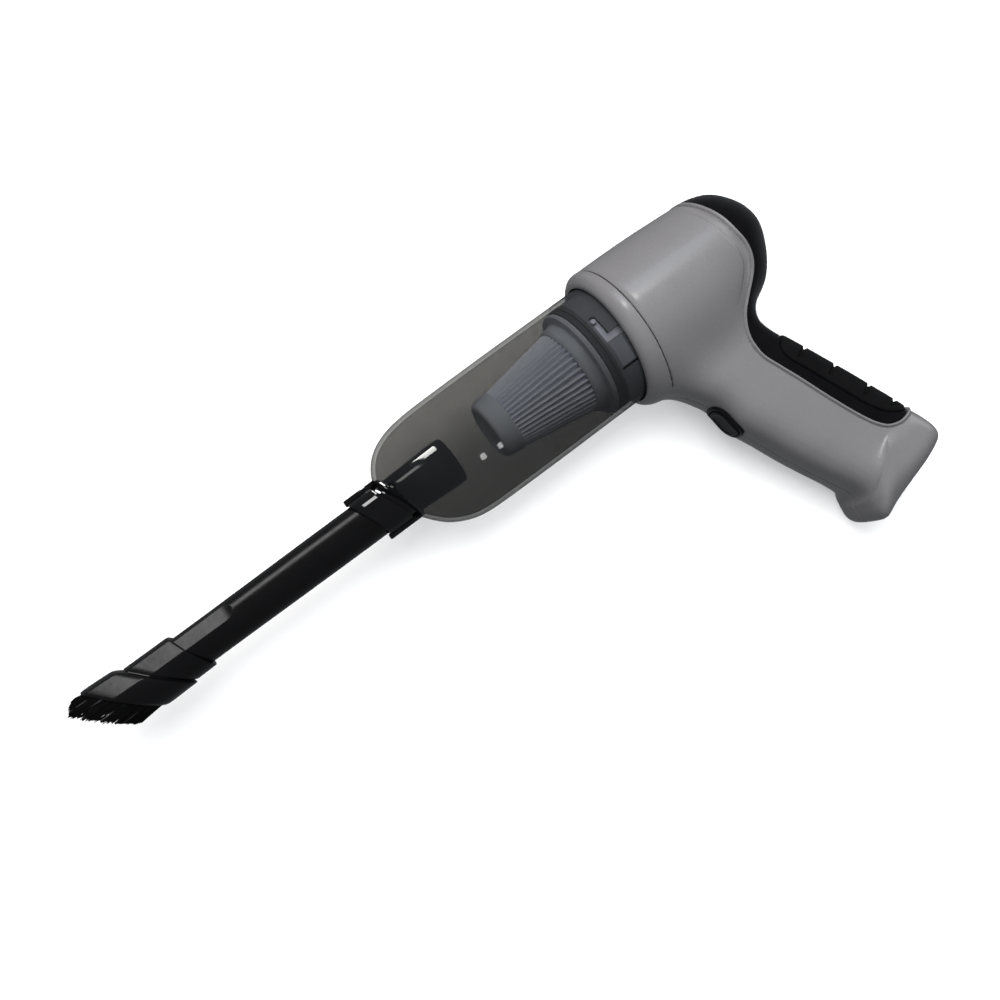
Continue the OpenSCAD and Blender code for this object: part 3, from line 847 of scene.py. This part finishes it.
# pad: soft blocks between cross grooves
b = np.maximum(d_pad, 0)
h_pad = -0.9 + 1.05 * np.sqrt(1 - (1 - np.minimum(b / 1.6, 1)) ** 2)
for s0 in (81.6, 98.1, 116.7, 130.6):
    t = np.abs(S_ - s0 + 0.010 * V[:, 2] ** 2)
    h_pad -= 1.3 * smooth(1.6, 4.2, b) * (1 - smooth(0.45, 1.05, t))
pad_out = V + NRM * h_pad[:, None]
pad_in = V - NRM * 2.2

# collar: rolls in towards the cup
rad = np.hypot(V[:, 1], V[:, 2])
er = np.stack([V[:, 1], V[:, 2]], 1) / np.maximum(rad, 1e-9)[:, None]
t = np.clip((V[:, 0] - FRONT) / (4.0 - FRONT), 0, 1)
phi = t * np.pi / 2
new_x = np.where(t < 1, FRONT + (4.0 - FRONT) * (1 - np.cos(phi)), V[:, 0])
scale = np.where(t < 1, (30.8 + 4.4 * np.sin(phi)) / 35.2, 1.0)
tilt = 1.3 * (1 + V[:, 1] / 33.0) * (1 - smooth(FRONT, SEAM - 1.5, new_x))
new_x = new_x + tilt
collar_out = np.c_[new_x, er * (rad * scale)[:, None]]
collar_out += NRM * (seam_cut * (t >= 1))[:, None]
collar_out[:, 0] -= np.where(ds < 1e-6, 0.26 * seam_on, 0)
collar_in = np.c_[new_x, er * np.where(new_x < 4.1, 30.35, 33.0)[:, None]]
collar_in[:, 0] -= np.where(ds < 1e-6, 0.26 * seam_on, 0)


def boss(x, y, z1):
    """Wall and floor of a screw well on the right side."""
    k = 40
    a = np.arange(k) * 2 * np.pi / k
    ring = [(3.32, z1), (4.3, z1), (4.3, -7.0), (1.15, -7.0), (1.15, -7.9), (3.32, -7.9)]
    Vb = np.concatenate([np.stack([x + r * np.cos(a), y + r * np.sin(a), np.full(k, z)], 1) for r, z in ring])
    m = len(ring)
    Fb = [(i * k + j, i * k + (j + 1) % k, ((i + 1) % m) * k + (j + 1) % k, ((i + 1) % m) * k + j)
          for i in range(m) for j in range(k)]
    return Vb, Fb


def wall_z(x, y):
    """Depth of the case's right wall at a place in the side view."""
    zz = np.linspace(-40, 0, 801)
    f = CASE.F(np.c_[np.full(801, x), np.full(801, y), zz])
    return zz[np.argmax(f < 0)]


left = thicken(T, is_left, shell_out, shell_in)
right = thicken(T, is_right, shell_out, shell_in)
right = join(right, *[boss(x, y, wall_z(x, y) + 1.5) for x, y in SCREWS])
mesh("left_half", *left, M_SHELL, "case", "left_shell", "shell_grey")
mesh("right_half", *right, M_SHELL, "case", "right_shell", "shell_grey")
mesh("mouth_collar", *thicken(T, is_collar, collar_out, collar_in), M_SHELL, "case", "front_collar", "shell_grey")
mesh("back_cover", *thicken(T, is_cover, cover_out, cover_in), M_COVER, "case", "rear_cover", "black_cover")
mesh("ribbed_pad", *thicken(T, is_pad, pad_out, pad_in), M_GRIP, "case", "grip_pad", "black_grip")

# ------------------------------------------------------------------ button
def front_q(s, z):
    """Front of the grip at a place: its q."""
    s, z = np.asarray(s, float), np.asarray(z, float)
    lo, hi = np.full(s.shape, -16.0), np.full(s.shape, 12.0)
    for _ in range(30):
        m = (lo + hi) / 2
        out = CASE.F(at(s, m, z).reshape(-1, 3)).reshape(s.shape) > 0
        lo, hi = np.where(out, m, lo), np.where(out, hi, m)
    return (lo + hi) / 2


def rim(inset, k):
    """Points round the button's outline, moved in by inset."""
    a, b = BTN_A - inset, BTN_B - inset
    th = np.arange(k) * 2 * np.pi / k
    e = 2 / 2.9
    return a * np.sign(np.cos(th)) * np.abs(np.cos(th)) ** e, b * np.sign(np.sin(th)) * np.abs(np.sin(th)) ** e


def lofted(rings, k, cap_first=False, cap_last=False, close=False):
    F = []
    m = len(rings)
    for i in range(m if close else m - 1):
        j = (i + 1) % m
        F += [(i * k + a, i * k + (a + 1) % k, j * k + (a + 1) % k, j * k + a) for a in range(k)]
    Vr = np.concatenate(rings)
    if cap_first:
        F.append(tuple(range(k - 1, -1, -1)))
    if cap_last:
        F.append(tuple((m - 1) * k + a for a in range(k)))
    return Vr, F


def button_ring(inset, height, k=96):
    s, z = rim(inset, k)
    q = front_q(BTN_S + s, z)
    return at(BTN_S + s, q - height, z)


RIM = [(0.0, -2.2), (0.0, 0.5), (0.12, 0.9), (0.4, 1.2), (0.85, 1.32), (1.3, 1.26), (1.6, 1.0), (1.7, 0.6),
       (1.7, -2.2)]
Vb, Fb = lofted([button_ring(i, h) for i, h in RIM], 96, close=True)
mesh("button_rim", Vb, Fb, M_TRIM, "case", "button_bezel", "black_trim", angle=50, outward=True)
CAP = [(2.1, -1.0), (2.1, 1.0), (2.25, 1.35), (2.6, 1.6), (3.2, 1.72), (3.8, 1.6), (4.2, 1.35), (4.8, 1.25),
       (6.2, 1.2), (7.6, 1.15), (8.8, 1.12)]
rings = [button_ring(i, h) for i, h in CAP]
Vb, Fb = lofted(rings, 96, cap_first=True, cap_last=True)
mesh("press_button", Vb, Fb, M_TRIM, "button", "power_button", "black_trim", angle=50, outward=True)

# ------------------------------------------------------------------ turned and swept pieces at the front
def rounded(corners, n=4):
    """Closed profile from (x, radius, fillet) corners."""
    out = []
    m = len(corners)
    for i in range(m):
        p = np.array(corners[i][:2], float)
        f = corners[i][2] if len(corners[i]) > 2 else 0.0
        if f <= 0:
            out.append(tuple(p))
            continue
        a, b = np.array(corners[i - 1][:2], float) - p, np.array(corners[(i + 1) % m][:2], float) - p
        la, lb = np.linalg.norm(a), np.linalg.norm(b)
        half = max(math.acos(float(np.clip(a @ b / (la * lb), -1, 1))) / 2, 0.05)
        d = min(f / math.tan(half), 0.45 * la, 0.45 * lb)
        for k in range(n + 1):
            t = k / n
            out.append(tuple((1 - t) ** 2 * (p + a / la * d) + 2 * t * (1 - t) * p + t * t * (p + b / lb * d)))
    return out


def ring(x, r, n):
    a = np.arange(n) * 2 * np.pi / n
    return np.stack([np.broadcast_to(np.asarray(x, float), (n,)), r * np.sin(a), r * np.cos(a)], 1)


def lathe(profile, n=144, move=None):
    """Closed profile turned about the barrel's axis."""
    Vr, F = lofted([ring(x, r, n) for x, r in profile], n, close=True)
    return (move(Vr) if move else Vr), F


def lean(P, start=-92, full=-122):
    """The cup's nose and its socket stand further forward at the top."""
    P = P.copy()
    P[:, 0] -= (5.4 * np.tanh(P[:, 1] / 12.0) + 0.6) * smooth(start, full, P[:, 0])
    return P


# dust cup: a flat sheet of (place along the profile, place round it) with its slots cut, then rolled up
CUP_MID = 28.6


CUP_LINE = catmull([(-50, 29.6), (-70, 29.45), (-86, 29.2), (-95, 28.75), (-102.7, 27.5), (-110.3, 24.5), (-115.3, 21.0),
                    (-118.9, 17.0), (-121.4, 13.2), (-122.1, 11.6), (-122.2, 10.67)], 16)
CUP_RUN = np.r_[0, np.cumsum(np.hypot(*np.diff(CUP_LINE, axis=0).T))]
CUP_END = -50 - CUP_RUN[-1]


def cup_skin(U, A, outer, lift=0.0):
    run = np.clip(-50 - U, 0, CUP_RUN[-1])
    X, R = np.interp(run, CUP_RUN, CUP_LINE[:, 0]), np.interp(run, CUP_RUN, CUP_LINE[:, 1])
    if not outer:
        g = np.gradient(CUP_LINE, axis=0)
        g /= np.linalg.norm(g, axis=1)[:, None]
        g[-1] = g[-2] = (0, -1)
        X = X - 2.0 * np.interp(run, CUP_RUN, g[:, 1])
        R = np.maximum(R + 2.0 * np.interp(run, CUP_RUN, g[:, 0]), 10.67)
    X = np.where(U > -50, U, X)
    R = R + lift
    return lean(np.stack([X, R * np.sin(A), R * np.cos(A)], 1), -72, -112)


def arc(deg):
    return math.radians(deg) * CUP_MID


def slab(P, x0, x1, y0, y1, r):
    dx = np.abs(P[:, 0] - (x0 + x1) / 2) - ((x1 - x0) / 2 - r)
    dy = np.abs(P[:, 1] - (y0 + y1) / 2) - ((y1 - y0) / 2 - r)
    return np.hypot(np.maximum(dx, 0), np.maximum(dy, 0)) + np.minimum(np.maximum(dx, dy), 0) - r


def f_hook(P):
    """Below zero in the two hooked bayonet slots of the cup's rim and in the slits beside their tabs."""
    d = np.full(len(P), 30.0)
    for a in (0.0, -180.0):
        d = np.minimum(d, slab(P, -10.9, -7.7, arc(a - 2.3), arc(a + 24.6), 1.3))
        d = np.minimum(d, slab(P, -10.9, 12.0, arc(a - 2.3), arc(a + 4.6), 0.9))
        d = np.minimum(d, slab(P, -11.2, 12.0, arc(a - 29.5), arc(a - 28.2), 0.25))
    return d


def f_tab(P):
    """Below zero on the two raised tabs between slot and slit."""
    return np.minimum(*[slab(P, -10.9, -3.4, arc(a - 27.6), arc(a - 3.3), 0.5) for a in (0.0, -180.0)])


def in_sheet(f):
    def fix(P):
        P = P.copy()
        for _ in range(4):
            v = f(P)
            g = np.zeros_like(P)
            for i in range(2):
                d = np.zeros(3)
                d[i] = 0.02
                g[:, i] = (f(P + d) - f(P - d)) / 0.04
            P -= np.clip(v / np.maximum((g * g).sum(1), 0.1), -0.6, 0.6)[:, None] * g
        return P
    return fix


u_rows = np.r_[3.4, np.arange(2.8, -16.2, -0.6), np.arange(-18, -84, -2.4), np.linspace(-85, CUP_END + 0.9, 34), CUP_END]
cols = 216
angles = np.radians(np.linspace(-250, 110, cols + 1))
gu, ga = np.meshgrid(u_rows, angles, indexing="ij")
P = np.stack([gu.ravel(), ga.ravel() * CUP_MID, np.zeros(gu.size)], 1)
ij = np.arange(len(u_rows) * (cols + 1)).reshape(len(u_rows), cols + 1)
q0, q1, q2, q3 = ij[:-1, :-1].ravel(), ij[:-1, 1:].ravel(), ij[1:, 1:].ravel(), ij[1:, :-1].ravel()
TC = np.concatenate([np.stack([q0, q1, q2], 1), np.stack([q0, q2, q3], 1)])
P, TC = cut(P, TC, f_hook, in_sheet(f_hook), 0.3)
P, TC = cut(P, TC, f_tab, in_sheet(f_tab), 0.3)
P, TC = cut(P, TC, lambda p: f_tab(p) + 0.35, in_sheet(lambda p: f_tab(p) + 0.35), 0.3)
same = np.arange(len(P))
same[ij[:, -1]] = ij[:, 0]
TC = same[TC]
mid = P[TC].mean(1)
wrapped = np.ptp(P[TC][:, :, 1], axis=1) > 20
mask = (f_hook(mid) > 0) | wrapped
lift = 0.45 * np.clip(-f_tab(P) / 0.35, 0, 1)
A = P[:, 1] / CUP_MID
Vc, Fc = thicken(TC, mask, cup_skin(P[:, 0], A, True, lift), cup_skin(P[:, 0], A, False))
tab = (f_tab(mid) < -0.05) & ~wrapped
pick = np.full(len(Fc), 2, np.int32)
pick[:mask.sum()] = np.where(tab, 1, np.where(mid[:, 0] > -12.3, 3, 0))[mask]
mesh("smoked_cup", Vc, Fc, [M_SMOKE, M_FROST, M_SMOKE_IN_PAINTED_SHADE, M_RIM], "cup", "dust_cup", "smoke", pick=pick, outward=True)


def stud(x, deg, r, r0, r1, k=28):
    """Round boss that stands out from the axis at an angle."""
    t = math.radians(deg)
    er, et = np.array([0, math.sin(t), math.cos(t)]), np.array([0, math.cos(t), -math.sin(t)])
    a = np.arange(k) * 2 * np.pi / k
    rings = []
    for rr, h in ((r, r0), (r, r1 - 0.45), (r - 0.12, r1 - 0.16), (r - 0.45, r1)):
        rings.append(np.array([x, 0, 0]) + rr * np.cos(a)[:, None] * np.array([1, 0, 0]) + rr * np.sin(a)[:, None] * et
                     + h * er)
    return lofted(rings, k, cap_first=True, cap_last=True)


NECK = rounded([(13, 29, .2), (13, 31.4, .3), (6.5, 31.4, .1), (6.4, 33, .3), (4.3, 33, .3), (4.3, 27, .5),
                (-11.3, 27, .15), (-11.6, 27.38, .12), (-12.9, 27.38, .3), (-13.05, 25.6, .15), (-16, 25.6, .25),
                (-16, 23.95, .1), (6.4, 23.95, .2), (6.4, 29, 0)])
mesh("neck", *join(lathe(NECK, 180), stud(-9.25, 20.6, 1.3, 26.4, 28.9), stud(-9.25, 200.6, 1.3, 26.4, 28.9)),
     M_NECK, "case", "neck_ring", "neck_grey", outward=True)
SEAL = rounded([(-15.75, 25.75, .3), (-15.75, 27.1, .4), (-15.1, 27.5, .25), (-14.55, 26.8, .3), (-14.0, 27.5, .25),
                (-13.3, 27.1, .4), (-13.3, 25.75, .3)])
mesh("neck_seal", *lathe(SEAL, 180), M_SEAL, "seal", "seal_ring", "rubber", outward=True)
FRAME = rounded([(2, 22, .2), (2, 23.85, .3), (-16.1, 23.85, .05), (-16.1, 26.7, .3), (-17.2, 27.1, .4),
                 (-18.4, 26.5, .4), (-18.6, 22.9, .8), (-23.2, 22.2, .5), (-24.4, 21.5, .4), (-24.4, 19.2, .2),
                 (-18, 19.2, .3), (-15.5, 22, .4)])
mesh("filter_collar", *lathe(FRAME, 180), M_FRAME, "case", "filter_frame", "filter_plastic", outward=True)

PLEATS, PER = 44, 10
k = PLEATS * PER
th = np.arange(k) * 2 * np.pi / k
rows_p = np.r_[np.linspace(-23.8, -25.2, 3), np.linspace(-28, -60, 13), np.linspace(-61.2, -62.3, 2)]


def fold_ring(x, under):
    f = (-23.8 - x) / 38.5
    tip = 21.2 + (14.9 - 21.2) * f
    deep = 3.0 - 0.9 * f
    c = np.cos(PLEATS * th + 0.35 * np.sin(5 * th + x / 11.0) + 0.12 * np.sin(13 * th))
    wave = np.sign(c) * np.abs(c) ** 0.7
    r = tip - deep * (1 - wave) / 2 - under
    return np.stack([np.full(k, x), r * np.sin(th), r * np.cos(th)], 1)


mesh("filter_folds", *lofted([fold_ring(x, 0) for x in rows_p] + [fold_ring(x, 0.7) for x in rows_p[::-1]], k, close=True),
     M_CLOTH, "case", "filter_pleats", "filter_cloth", angle=60, outward=True)
END = [(-61.6, 13.2), (-61.6, 15.0), (-61.9, 15.35), (-62.8, 15.45), (-65, 15.15), (-68.0, 14.6), (-69.5, 14.2),
       (-70.4, 13.5), (-70.8, 12.5), (-70.9, 10.6), (-70.5, 9.7), (-70.5, 4.0)]
mesh("filter_end", *lofted([ring(x, r, 144) for x, r in END], 144, cap_first=True, cap_last=True), M_FRAME, "case",
     "filter_cap", "filter_plastic", outward=True)


def block(x0, x1, y0, y1, half, r=0.9, k=10):
    """Bar along the axis with a rounded section and bevelled ends."""
    def section(x, inset):
        a, b, rr = half - inset, (y1 - y0) / 2 - inset, max(r - inset, 0.15)
        pts = []
        for c, (sz, sy) in enumerate(((1, 1), (-1, 1), (-1, -1), (1, -1))):
            for j in range(k):
                t = (c + j / (k - 1)) * np.pi / 2
                pts.append((x, (y0 + y1) / 2 + sy * (b - rr) + rr * np.sin(t), sz * (a - rr) + rr * np.cos(t)))
        return np.array(pts)
    rings = [section(x0, 0.5), section(x0 + 0.15, 0.2), section(x0 + 0.5, 0), section(x1 - 0.5, 0),
             section(x1 - 0.15, 0.2), section(x1, 0.5)]
    return lofted(rings, 4 * k, cap_first=True, cap_last=True)


def duct_r(x):
    """Duct inside the cup: swells a little at its open end."""
    return np.where(x > -100.5, 11.45 - (x + 95.5) ** 2 / 220.0, 11.336 + 0.0455 * (x + 100.5))


DUCT = [(-91.35, 10.6), (-91.42, 11.0), (-91.65, 11.24)] + [(x, float(duct_r(x))) for x in
                                                            np.r_[-92.2, -93.2, -94.4, -95.5, -96.6, -97.8, -99.0, -100.5,
                                                                  np.arange(-102, -119, -2.0), -119.0]]
DUCT += rounded([(-119.2, 10.5, 0), (-119.4, 12.6, .4), (-121.7, 12.6, .3), (-121.8, 10.6, .1), (-124.3, 10.6, .1),
                 (-124.5, 11.3, 0)])[:-1]
DUCT += [(-124.5, 11.2), (-124.6, 11.45), (-124.9, 11.58), (-125.3, 11.6)] + [(x, 11.6) for x in np.arange(-127, -136, -1.5)]
DUCT += rounded([(-136.0, 11.6, 0), (-136.8, 11.5, .5), (-136.8, 9.8, .3), (-104.5, 9.8, .1), (-104.0, 8.6, .3),
                 (-92.6, 8.7, .4), (-91.4, 9.4, .4)])[1:]
mesh("duct_and_socket", *join(lathe(DUCT, 168, lean), block(-142.2, -125.6, 10.4, 13.2, 3.3), block(-134.8, -117.6, -12.8, -10.2, 3.3)),
     M_GLOSS, "cup", "inlet_duct", "black_gloss", outward=True)

# nozzle tube: round, with a flat track that starts in a rounded run-out
TRACK = np.array([math.sin(math.radians(30)), math.cos(math.radians(30))])


def flatten(P, f):
    P = P.copy()
    over = np.maximum(P[:, 1] * TRACK[0] + P[:, 2] * TRACK[1] - f, 0)
    P[:, 1:] -= over[:, None] * TRACK
    return P


def tube_r(x):
    return 9.72 - 0.52 * smooth(-138, -232, x)


def track_f(x):
    return 8.45 + 1.0 * np.clip((x + 211.7) / 6.0, 0, 9) ** 2


def tube_ring(x, r, track=True):
    P = ring(x, r, 192)
    if track:
        P = flatten(P, track_f(x))
    P[:, 0] -= 0.966 * P[:, 1] * smooth(-240, -258, x)
    return P


tx = np.r_[-108.7, np.arange(-111, -203, -3.0), np.arange(-203, -216.1, -0.5), np.arange(-218, -239, -3.0),
           np.arange(-240, -260.6, -1.5), -260.7]
rings = [tube_ring(-108.3, 9.1), tube_ring(-108.35, 9.45)] + [tube_ring(x, tube_r(x)) for x in tx]
rings += [tube_ring(-261.0, tube_r(-261.0) - 0.25), tube_ring(-261.0, 7.8)]
rings += [tube_ring(x, 7.55, False) for x in tx[::-1][1:]] + [tube_ring(-108.3, 8.3, False)]
mesh("crevice_tube", *lofted(rings, 192, close=True), M_TUBE, "nozzle", "nozzle_tube", "black_gloss", outward=True)

# brush sleeve: D-shaped section, slanted ridge and a wider slanted mouth
SLEEVE = [(-230.9, 9.9, 0), (-230.9, 10.4, 0), (-231.1, 10.75, 0), (-231.5, 10.95, 0), (-232.2, 11.0, 0), (-236, 11.02, 0),
          (-240, 11.05, 0), (-244, 11.08, 0), (-246.6, 11.1, 0), (-247.0, 11.0, 0), (-247.3, 10.75, 0.05), (-247.8, 10.75, 0.1),
          (-248.1, 11.1, 0.2), (-248.5, 11.9, 0.3), (-248.9, 12.4, 0.4), (-249.5, 12.62, 0.5), (-251, 12.75, 0.6),
          (-255, 12.9, 0.7), (-259, 13.05, 0.75), (-262, 13.1, 0.8), (-263.4, 13.0, 0.8), (-264.2, 12.7, 0.8),
          (-264.5, 12.2, 0.8), (-264.3, 11.8, 0.8), (-263.6, 11.6, 0.8), (-261.6, 11.4, 0.7), (-261.5, 9.35, 0)]


def sleeve_ring(x, r, dy=0.0, f=0.918):
    P = flatten(ring(x, r, 192), r * f)
    P[:, 1] += dy
    P[:, 0] -= (0.43 + 0.54 * smooth(-233, -246, x)) * P[:, 1]
    return P


rings = [sleeve_ring(x, r, dy) for x, r, dy in SLEEVE]
rings += [sleeve_ring(x, 9.37, 0, 0.946) for x in (-258, -252, -247, -243, -239, -235, -231.2)]
mesh("brush_head", *lofted(rings, 192, close=True), M_TUBE, "brush", "brush_sleeve", "black_gloss", angle=32, outward=True)

# bristles: fine tapered filaments set in tufts round the mouth
rng = np.random.default_rng(11)
bv, bf, pale = [], [], []
count = 0
for i in range(760):
    t = (np.floor(i % 38) + rng.normal(0, 0.24)) * 2 * np.pi / 38
    r0 = 10.2 + 1.05 * rng.random() ** 0.8
    fan = max(rng.normal(0.75, 0.4), 0.15)
    y0, z0 = r0 * math.sin(t) + 0.6, r0 * math.cos(t)
    r1 = r0 + fan
    tt = t + rng.normal(0, 0.035)
    y1, z1 = r1 * math.sin(tt) + 0.7, r1 * math.cos(tt)
    x0 = -260.6 - 0.97 * y0
    tip = -276.4 - 0.966 * y1
    if y1 > 7.6:
        tip = max(tip, -283.7 + 0.45 * (y1 - 7.6))
    tip += rng.normal(0, 0.55)
    side = np.clip(rng.normal(0, 0.25, 2), -0.2, 0.2)
    rr = 0.30 * rng.uniform(0.85, 1.15)
    for j, f in enumerate((0, 0.35, 0.7, 0.97, 1.0)):
        w = rr * (1 - 0.35 * f) * (0.55 if f == 1.0 else 1.0)
        bow = math.sin(math.pi * f)
        c = np.array([x0 + (tip - x0) * f, y0 + (y1 - y0) * f ** 1.3 + side[0] * bow, z0 + (z1 - z0) * f ** 1.3 + side[1] * bow])
        for h in range(5):
            a = h * 2 * np.pi / 5
            bv.append(c + np.array([0, w * math.sin(a), w * math.cos(a)]))
    o = count * 25
    faces = [(o + j * 5 + h, o + j * 5 + (h + 1) % 5, o + (j + 1) * 5 + (h + 1) % 5, o + (j + 1) * 5 + h)
             for j in range(4) for h in range(5)]
    faces += [tuple(o + h for h in range(4, -1, -1)), tuple(o + 20 + h for h in range(5))]
    bf += faces
    pale += [int(rng.random() < 0.03)] * len(faces)
    count += 1
mesh("brush_bristles", np.array(bv), bf, [M_BRISTLE, M_PALE], "brush", "bristles", "bristle", angle=80, pick=pale, outward=True)

# ------------------------------------------------------------------ pieces kept as drawn, with their finish
FINISH = {"button_switch": M_DARK, "control_board": M_BOARD, "power_leads": M_WIRE, "battery_cells": M_CELL,
          "battery_holder": M_DARK, "charge_socket": M_STEEL, "case_screws": M_STEEL, "motor_can": M_STEEL,
          "motor_end_bell": M_DARK, "motor_magnets": M_MAGNET, "motor_bushings": M_BRONZE, "motor_mount": M_RUBBER,
          "rotor_shaft": M_STEEL, "rotor_core": M_STEEL, "impeller": M_DARK, "fan_shroud": M_DARK,
          "exhaust_foam": M_FOAM}
for name, m in FINISH.items():
    o = NODES[name]
    for s in o.material_slots:
        s.material = m
    if not o.material_slots:
        o.data.materials.append(m)

# ------------------------------------------------------------------ stage, light, camera
def stage():
    me = bpy.data.meshes.new("floor")
    me.from_pydata([(-6, -6, 0), (6, -6, 0), (6, 6, 0), (-6, 6, 0)], [], [(0, 1, 2, 3)])
    o = bpy.data.objects.new("floor", me)
    me.materials.append(material("floor_paper", (0.95, 0.95, 0.95), 0.8, grain=0.05, grain_mm=2, mottle=0.01,
                                 mottle_mm=300, spec=0.2))
    o.visible_glossy = o.visible_diffuse = False
    bpy.context.scene.collection.objects.link(o)


def group(name, pieces):
    c = bpy.data.collections.new(name)
    for n in pieces:
        c.objects.link(bpy.data.objects[n])
    return c


def lamp(name, place, aim, size, watts, color=(1, 1, 1), sheen=True, fill=True, only=None, shade=None):
    """Soft rectangular light, its first side along the barrel; place and aim in tool millimetres.
    It may light only some pieces, and be shaded only by some."""
    from mathutils import Matrix
    L = bpy.data.lights.new(name, "AREA")
    L.shape = "RECTANGLE"
    L.size, L.size_y = size
    L.energy = watts
    L.color = color
    o = bpy.data.objects.new(name, L)
    bpy.context.scene.collection.objects.link(o)
    p, a = row(np.array([place]))[0], row(np.array([aim]))[0]
    z = unit(p - a)
    y = unit(np.cross(z, turn((1, 0, 0))))
    x = np.cross(y, z)
    o.matrix_world = Matrix([[x[0], y[0], z[0], p[0]], [x[1], y[1], z[1], p[1]], [x[2], y[2], z[2], p[2]], [0, 0, 0, 1]])
    o.visible_camera = False
    o.visible_glossy = sheen
    o.visible_diffuse = fill
    if only:
        o.light_linking.receiver_collection = group(name + "_lit", only)
    if shade:
        o.light_linking.blocker_collection = group(name + "_shade", shade)


def camera():
    from mathutils import Matrix
    cam = bpy.data.cameras.new("camera")
    cam.sensor_width = 36.0
    cam.lens = 34.83
    cam.clip_start, cam.clip_end = 0.01, 50
    o = bpy.data.objects.new("camera", cam)
    bpy.context.scene.collection.objects.link(o)
    r, u, b = (turn(v) for v in ((0.7893, -0.6014, 0.1236), (0.5942, 0.7990, 0.0930), (-0.1547, 0, 0.9880)))
    c = row(np.array([(-152.89, -27.67, 431.54)]))[0]
    o.matrix_world = Matrix([[r[0], u[0], b[0], c[0]], [r[1], u[1], b[1], c[1]], [r[2], u[2], b[2], c[2]], [0, 0, 0, 1]])
    bpy.context.scene.camera = o


camera()
stage()
bpy.context.scene.view_settings.view_transform = "Standard"
W = bpy.data.worlds.new("studio")
W.use_nodes = True
wt = W.node_tree
soft = wt.nodes["Background"]
soft.inputs["Color"].default_value = (0.93, 0.96, 1.0, 1)
soft.inputs["Strength"].default_value = 0.20
pale = wt.nodes.new("ShaderNodeBackground")
pale.inputs["Color"].default_value = (0.95, 0.95, 0.95, 1)
path = wt.nodes.new("ShaderNodeLightPath")
both = wt.nodes.new("ShaderNodeMixShader")
wt.links.new(path.outputs["Is Camera Ray"], both.inputs["Fac"])
wt.links.new(soft.outputs["Background"], both.inputs[1])
wt.links.new(pale.outputs["Background"], both.inputs[2])
wt.links.new(both.outputs["Shader"], wt.nodes["World Output"].inputs["Surface"])
bpy.context.scene.world = W
HALVES = ["left_half", "right_half", "mouth_collar"]
BLACKS = ["crevice_tube", "brush_head"]
INNER = ["filter_folds", "filter_collar", "filter_end", "neck", "neck_seal"]
DUCT_ONLY = ["duct_and_socket"]
lamp("key", (60, 560, 930), (-40, 0, 0), (1.0, 1.0), 14.0, (1.0, 0.985, 0.965), sheen=False)
lamp("top", (-60, 0, 1150), (-60, 0, 0), (1.4, 1.4), 5.0, (0.93, 0.97, 1.0), sheen=False)
lamp("paper", (-60, 0, 1300), (-60, 0, 0), (12.0, 12.0), 258.0, sheen=False, only=["floor"], shade=["floor"])
lamp("inner", (60, 560, 930), (-40, 0, 0), (1.0, 1.0), 6.5, (0.94, 0.97, 1.0), sheen=False, only=INNER,
     shade=INNER + HALVES)
lamp("strip", (-250, 815, 370), (-170, 5, 5), (0.46, 0.30), 2.8, fill=False, only=BLACKS)
lamp("glint", (-12, 882, -60), (-96, 7, 9), (0.07, 0.55), 7.9, fill=False, only=DUCT_ONLY, shade=DUCT_ONLY)
lamp("line", (-86, 825, 388), (-131, 5, 9), (0.04, 0.25), 0.5, fill=False, only=DUCT_ONLY, shade=DUCT_ONLY)
lamp("spot_a", (-6.0, -376.0, 618.0), (-90.0, -8.7, 28.3), (0.018, 0.13), 0.062, fill=False, only=["smoked_cup"])
lamp("spot_b", (41.0, -396.0, 602.0), (-83.0, -9.1, 28.2), (0.008, 0.12), 0.026, fill=False, only=["smoked_cup"])
lamp("sheen", (330, 560, 640), (40, 8, 33), (0.45, 0.30), 1.0, (0.72, 0.86, 1.0), fill=False, only=HALVES)
lamp("edge", (261, 420, 809), (90, -120, 20), (0.10, 0.10), 1.3, fill=False, only=HALVES)
lamp("rim", (870, 300, 300), (60, 0, 20), (0.80, 0.80), 3.6, fill=False, only=HALVES)
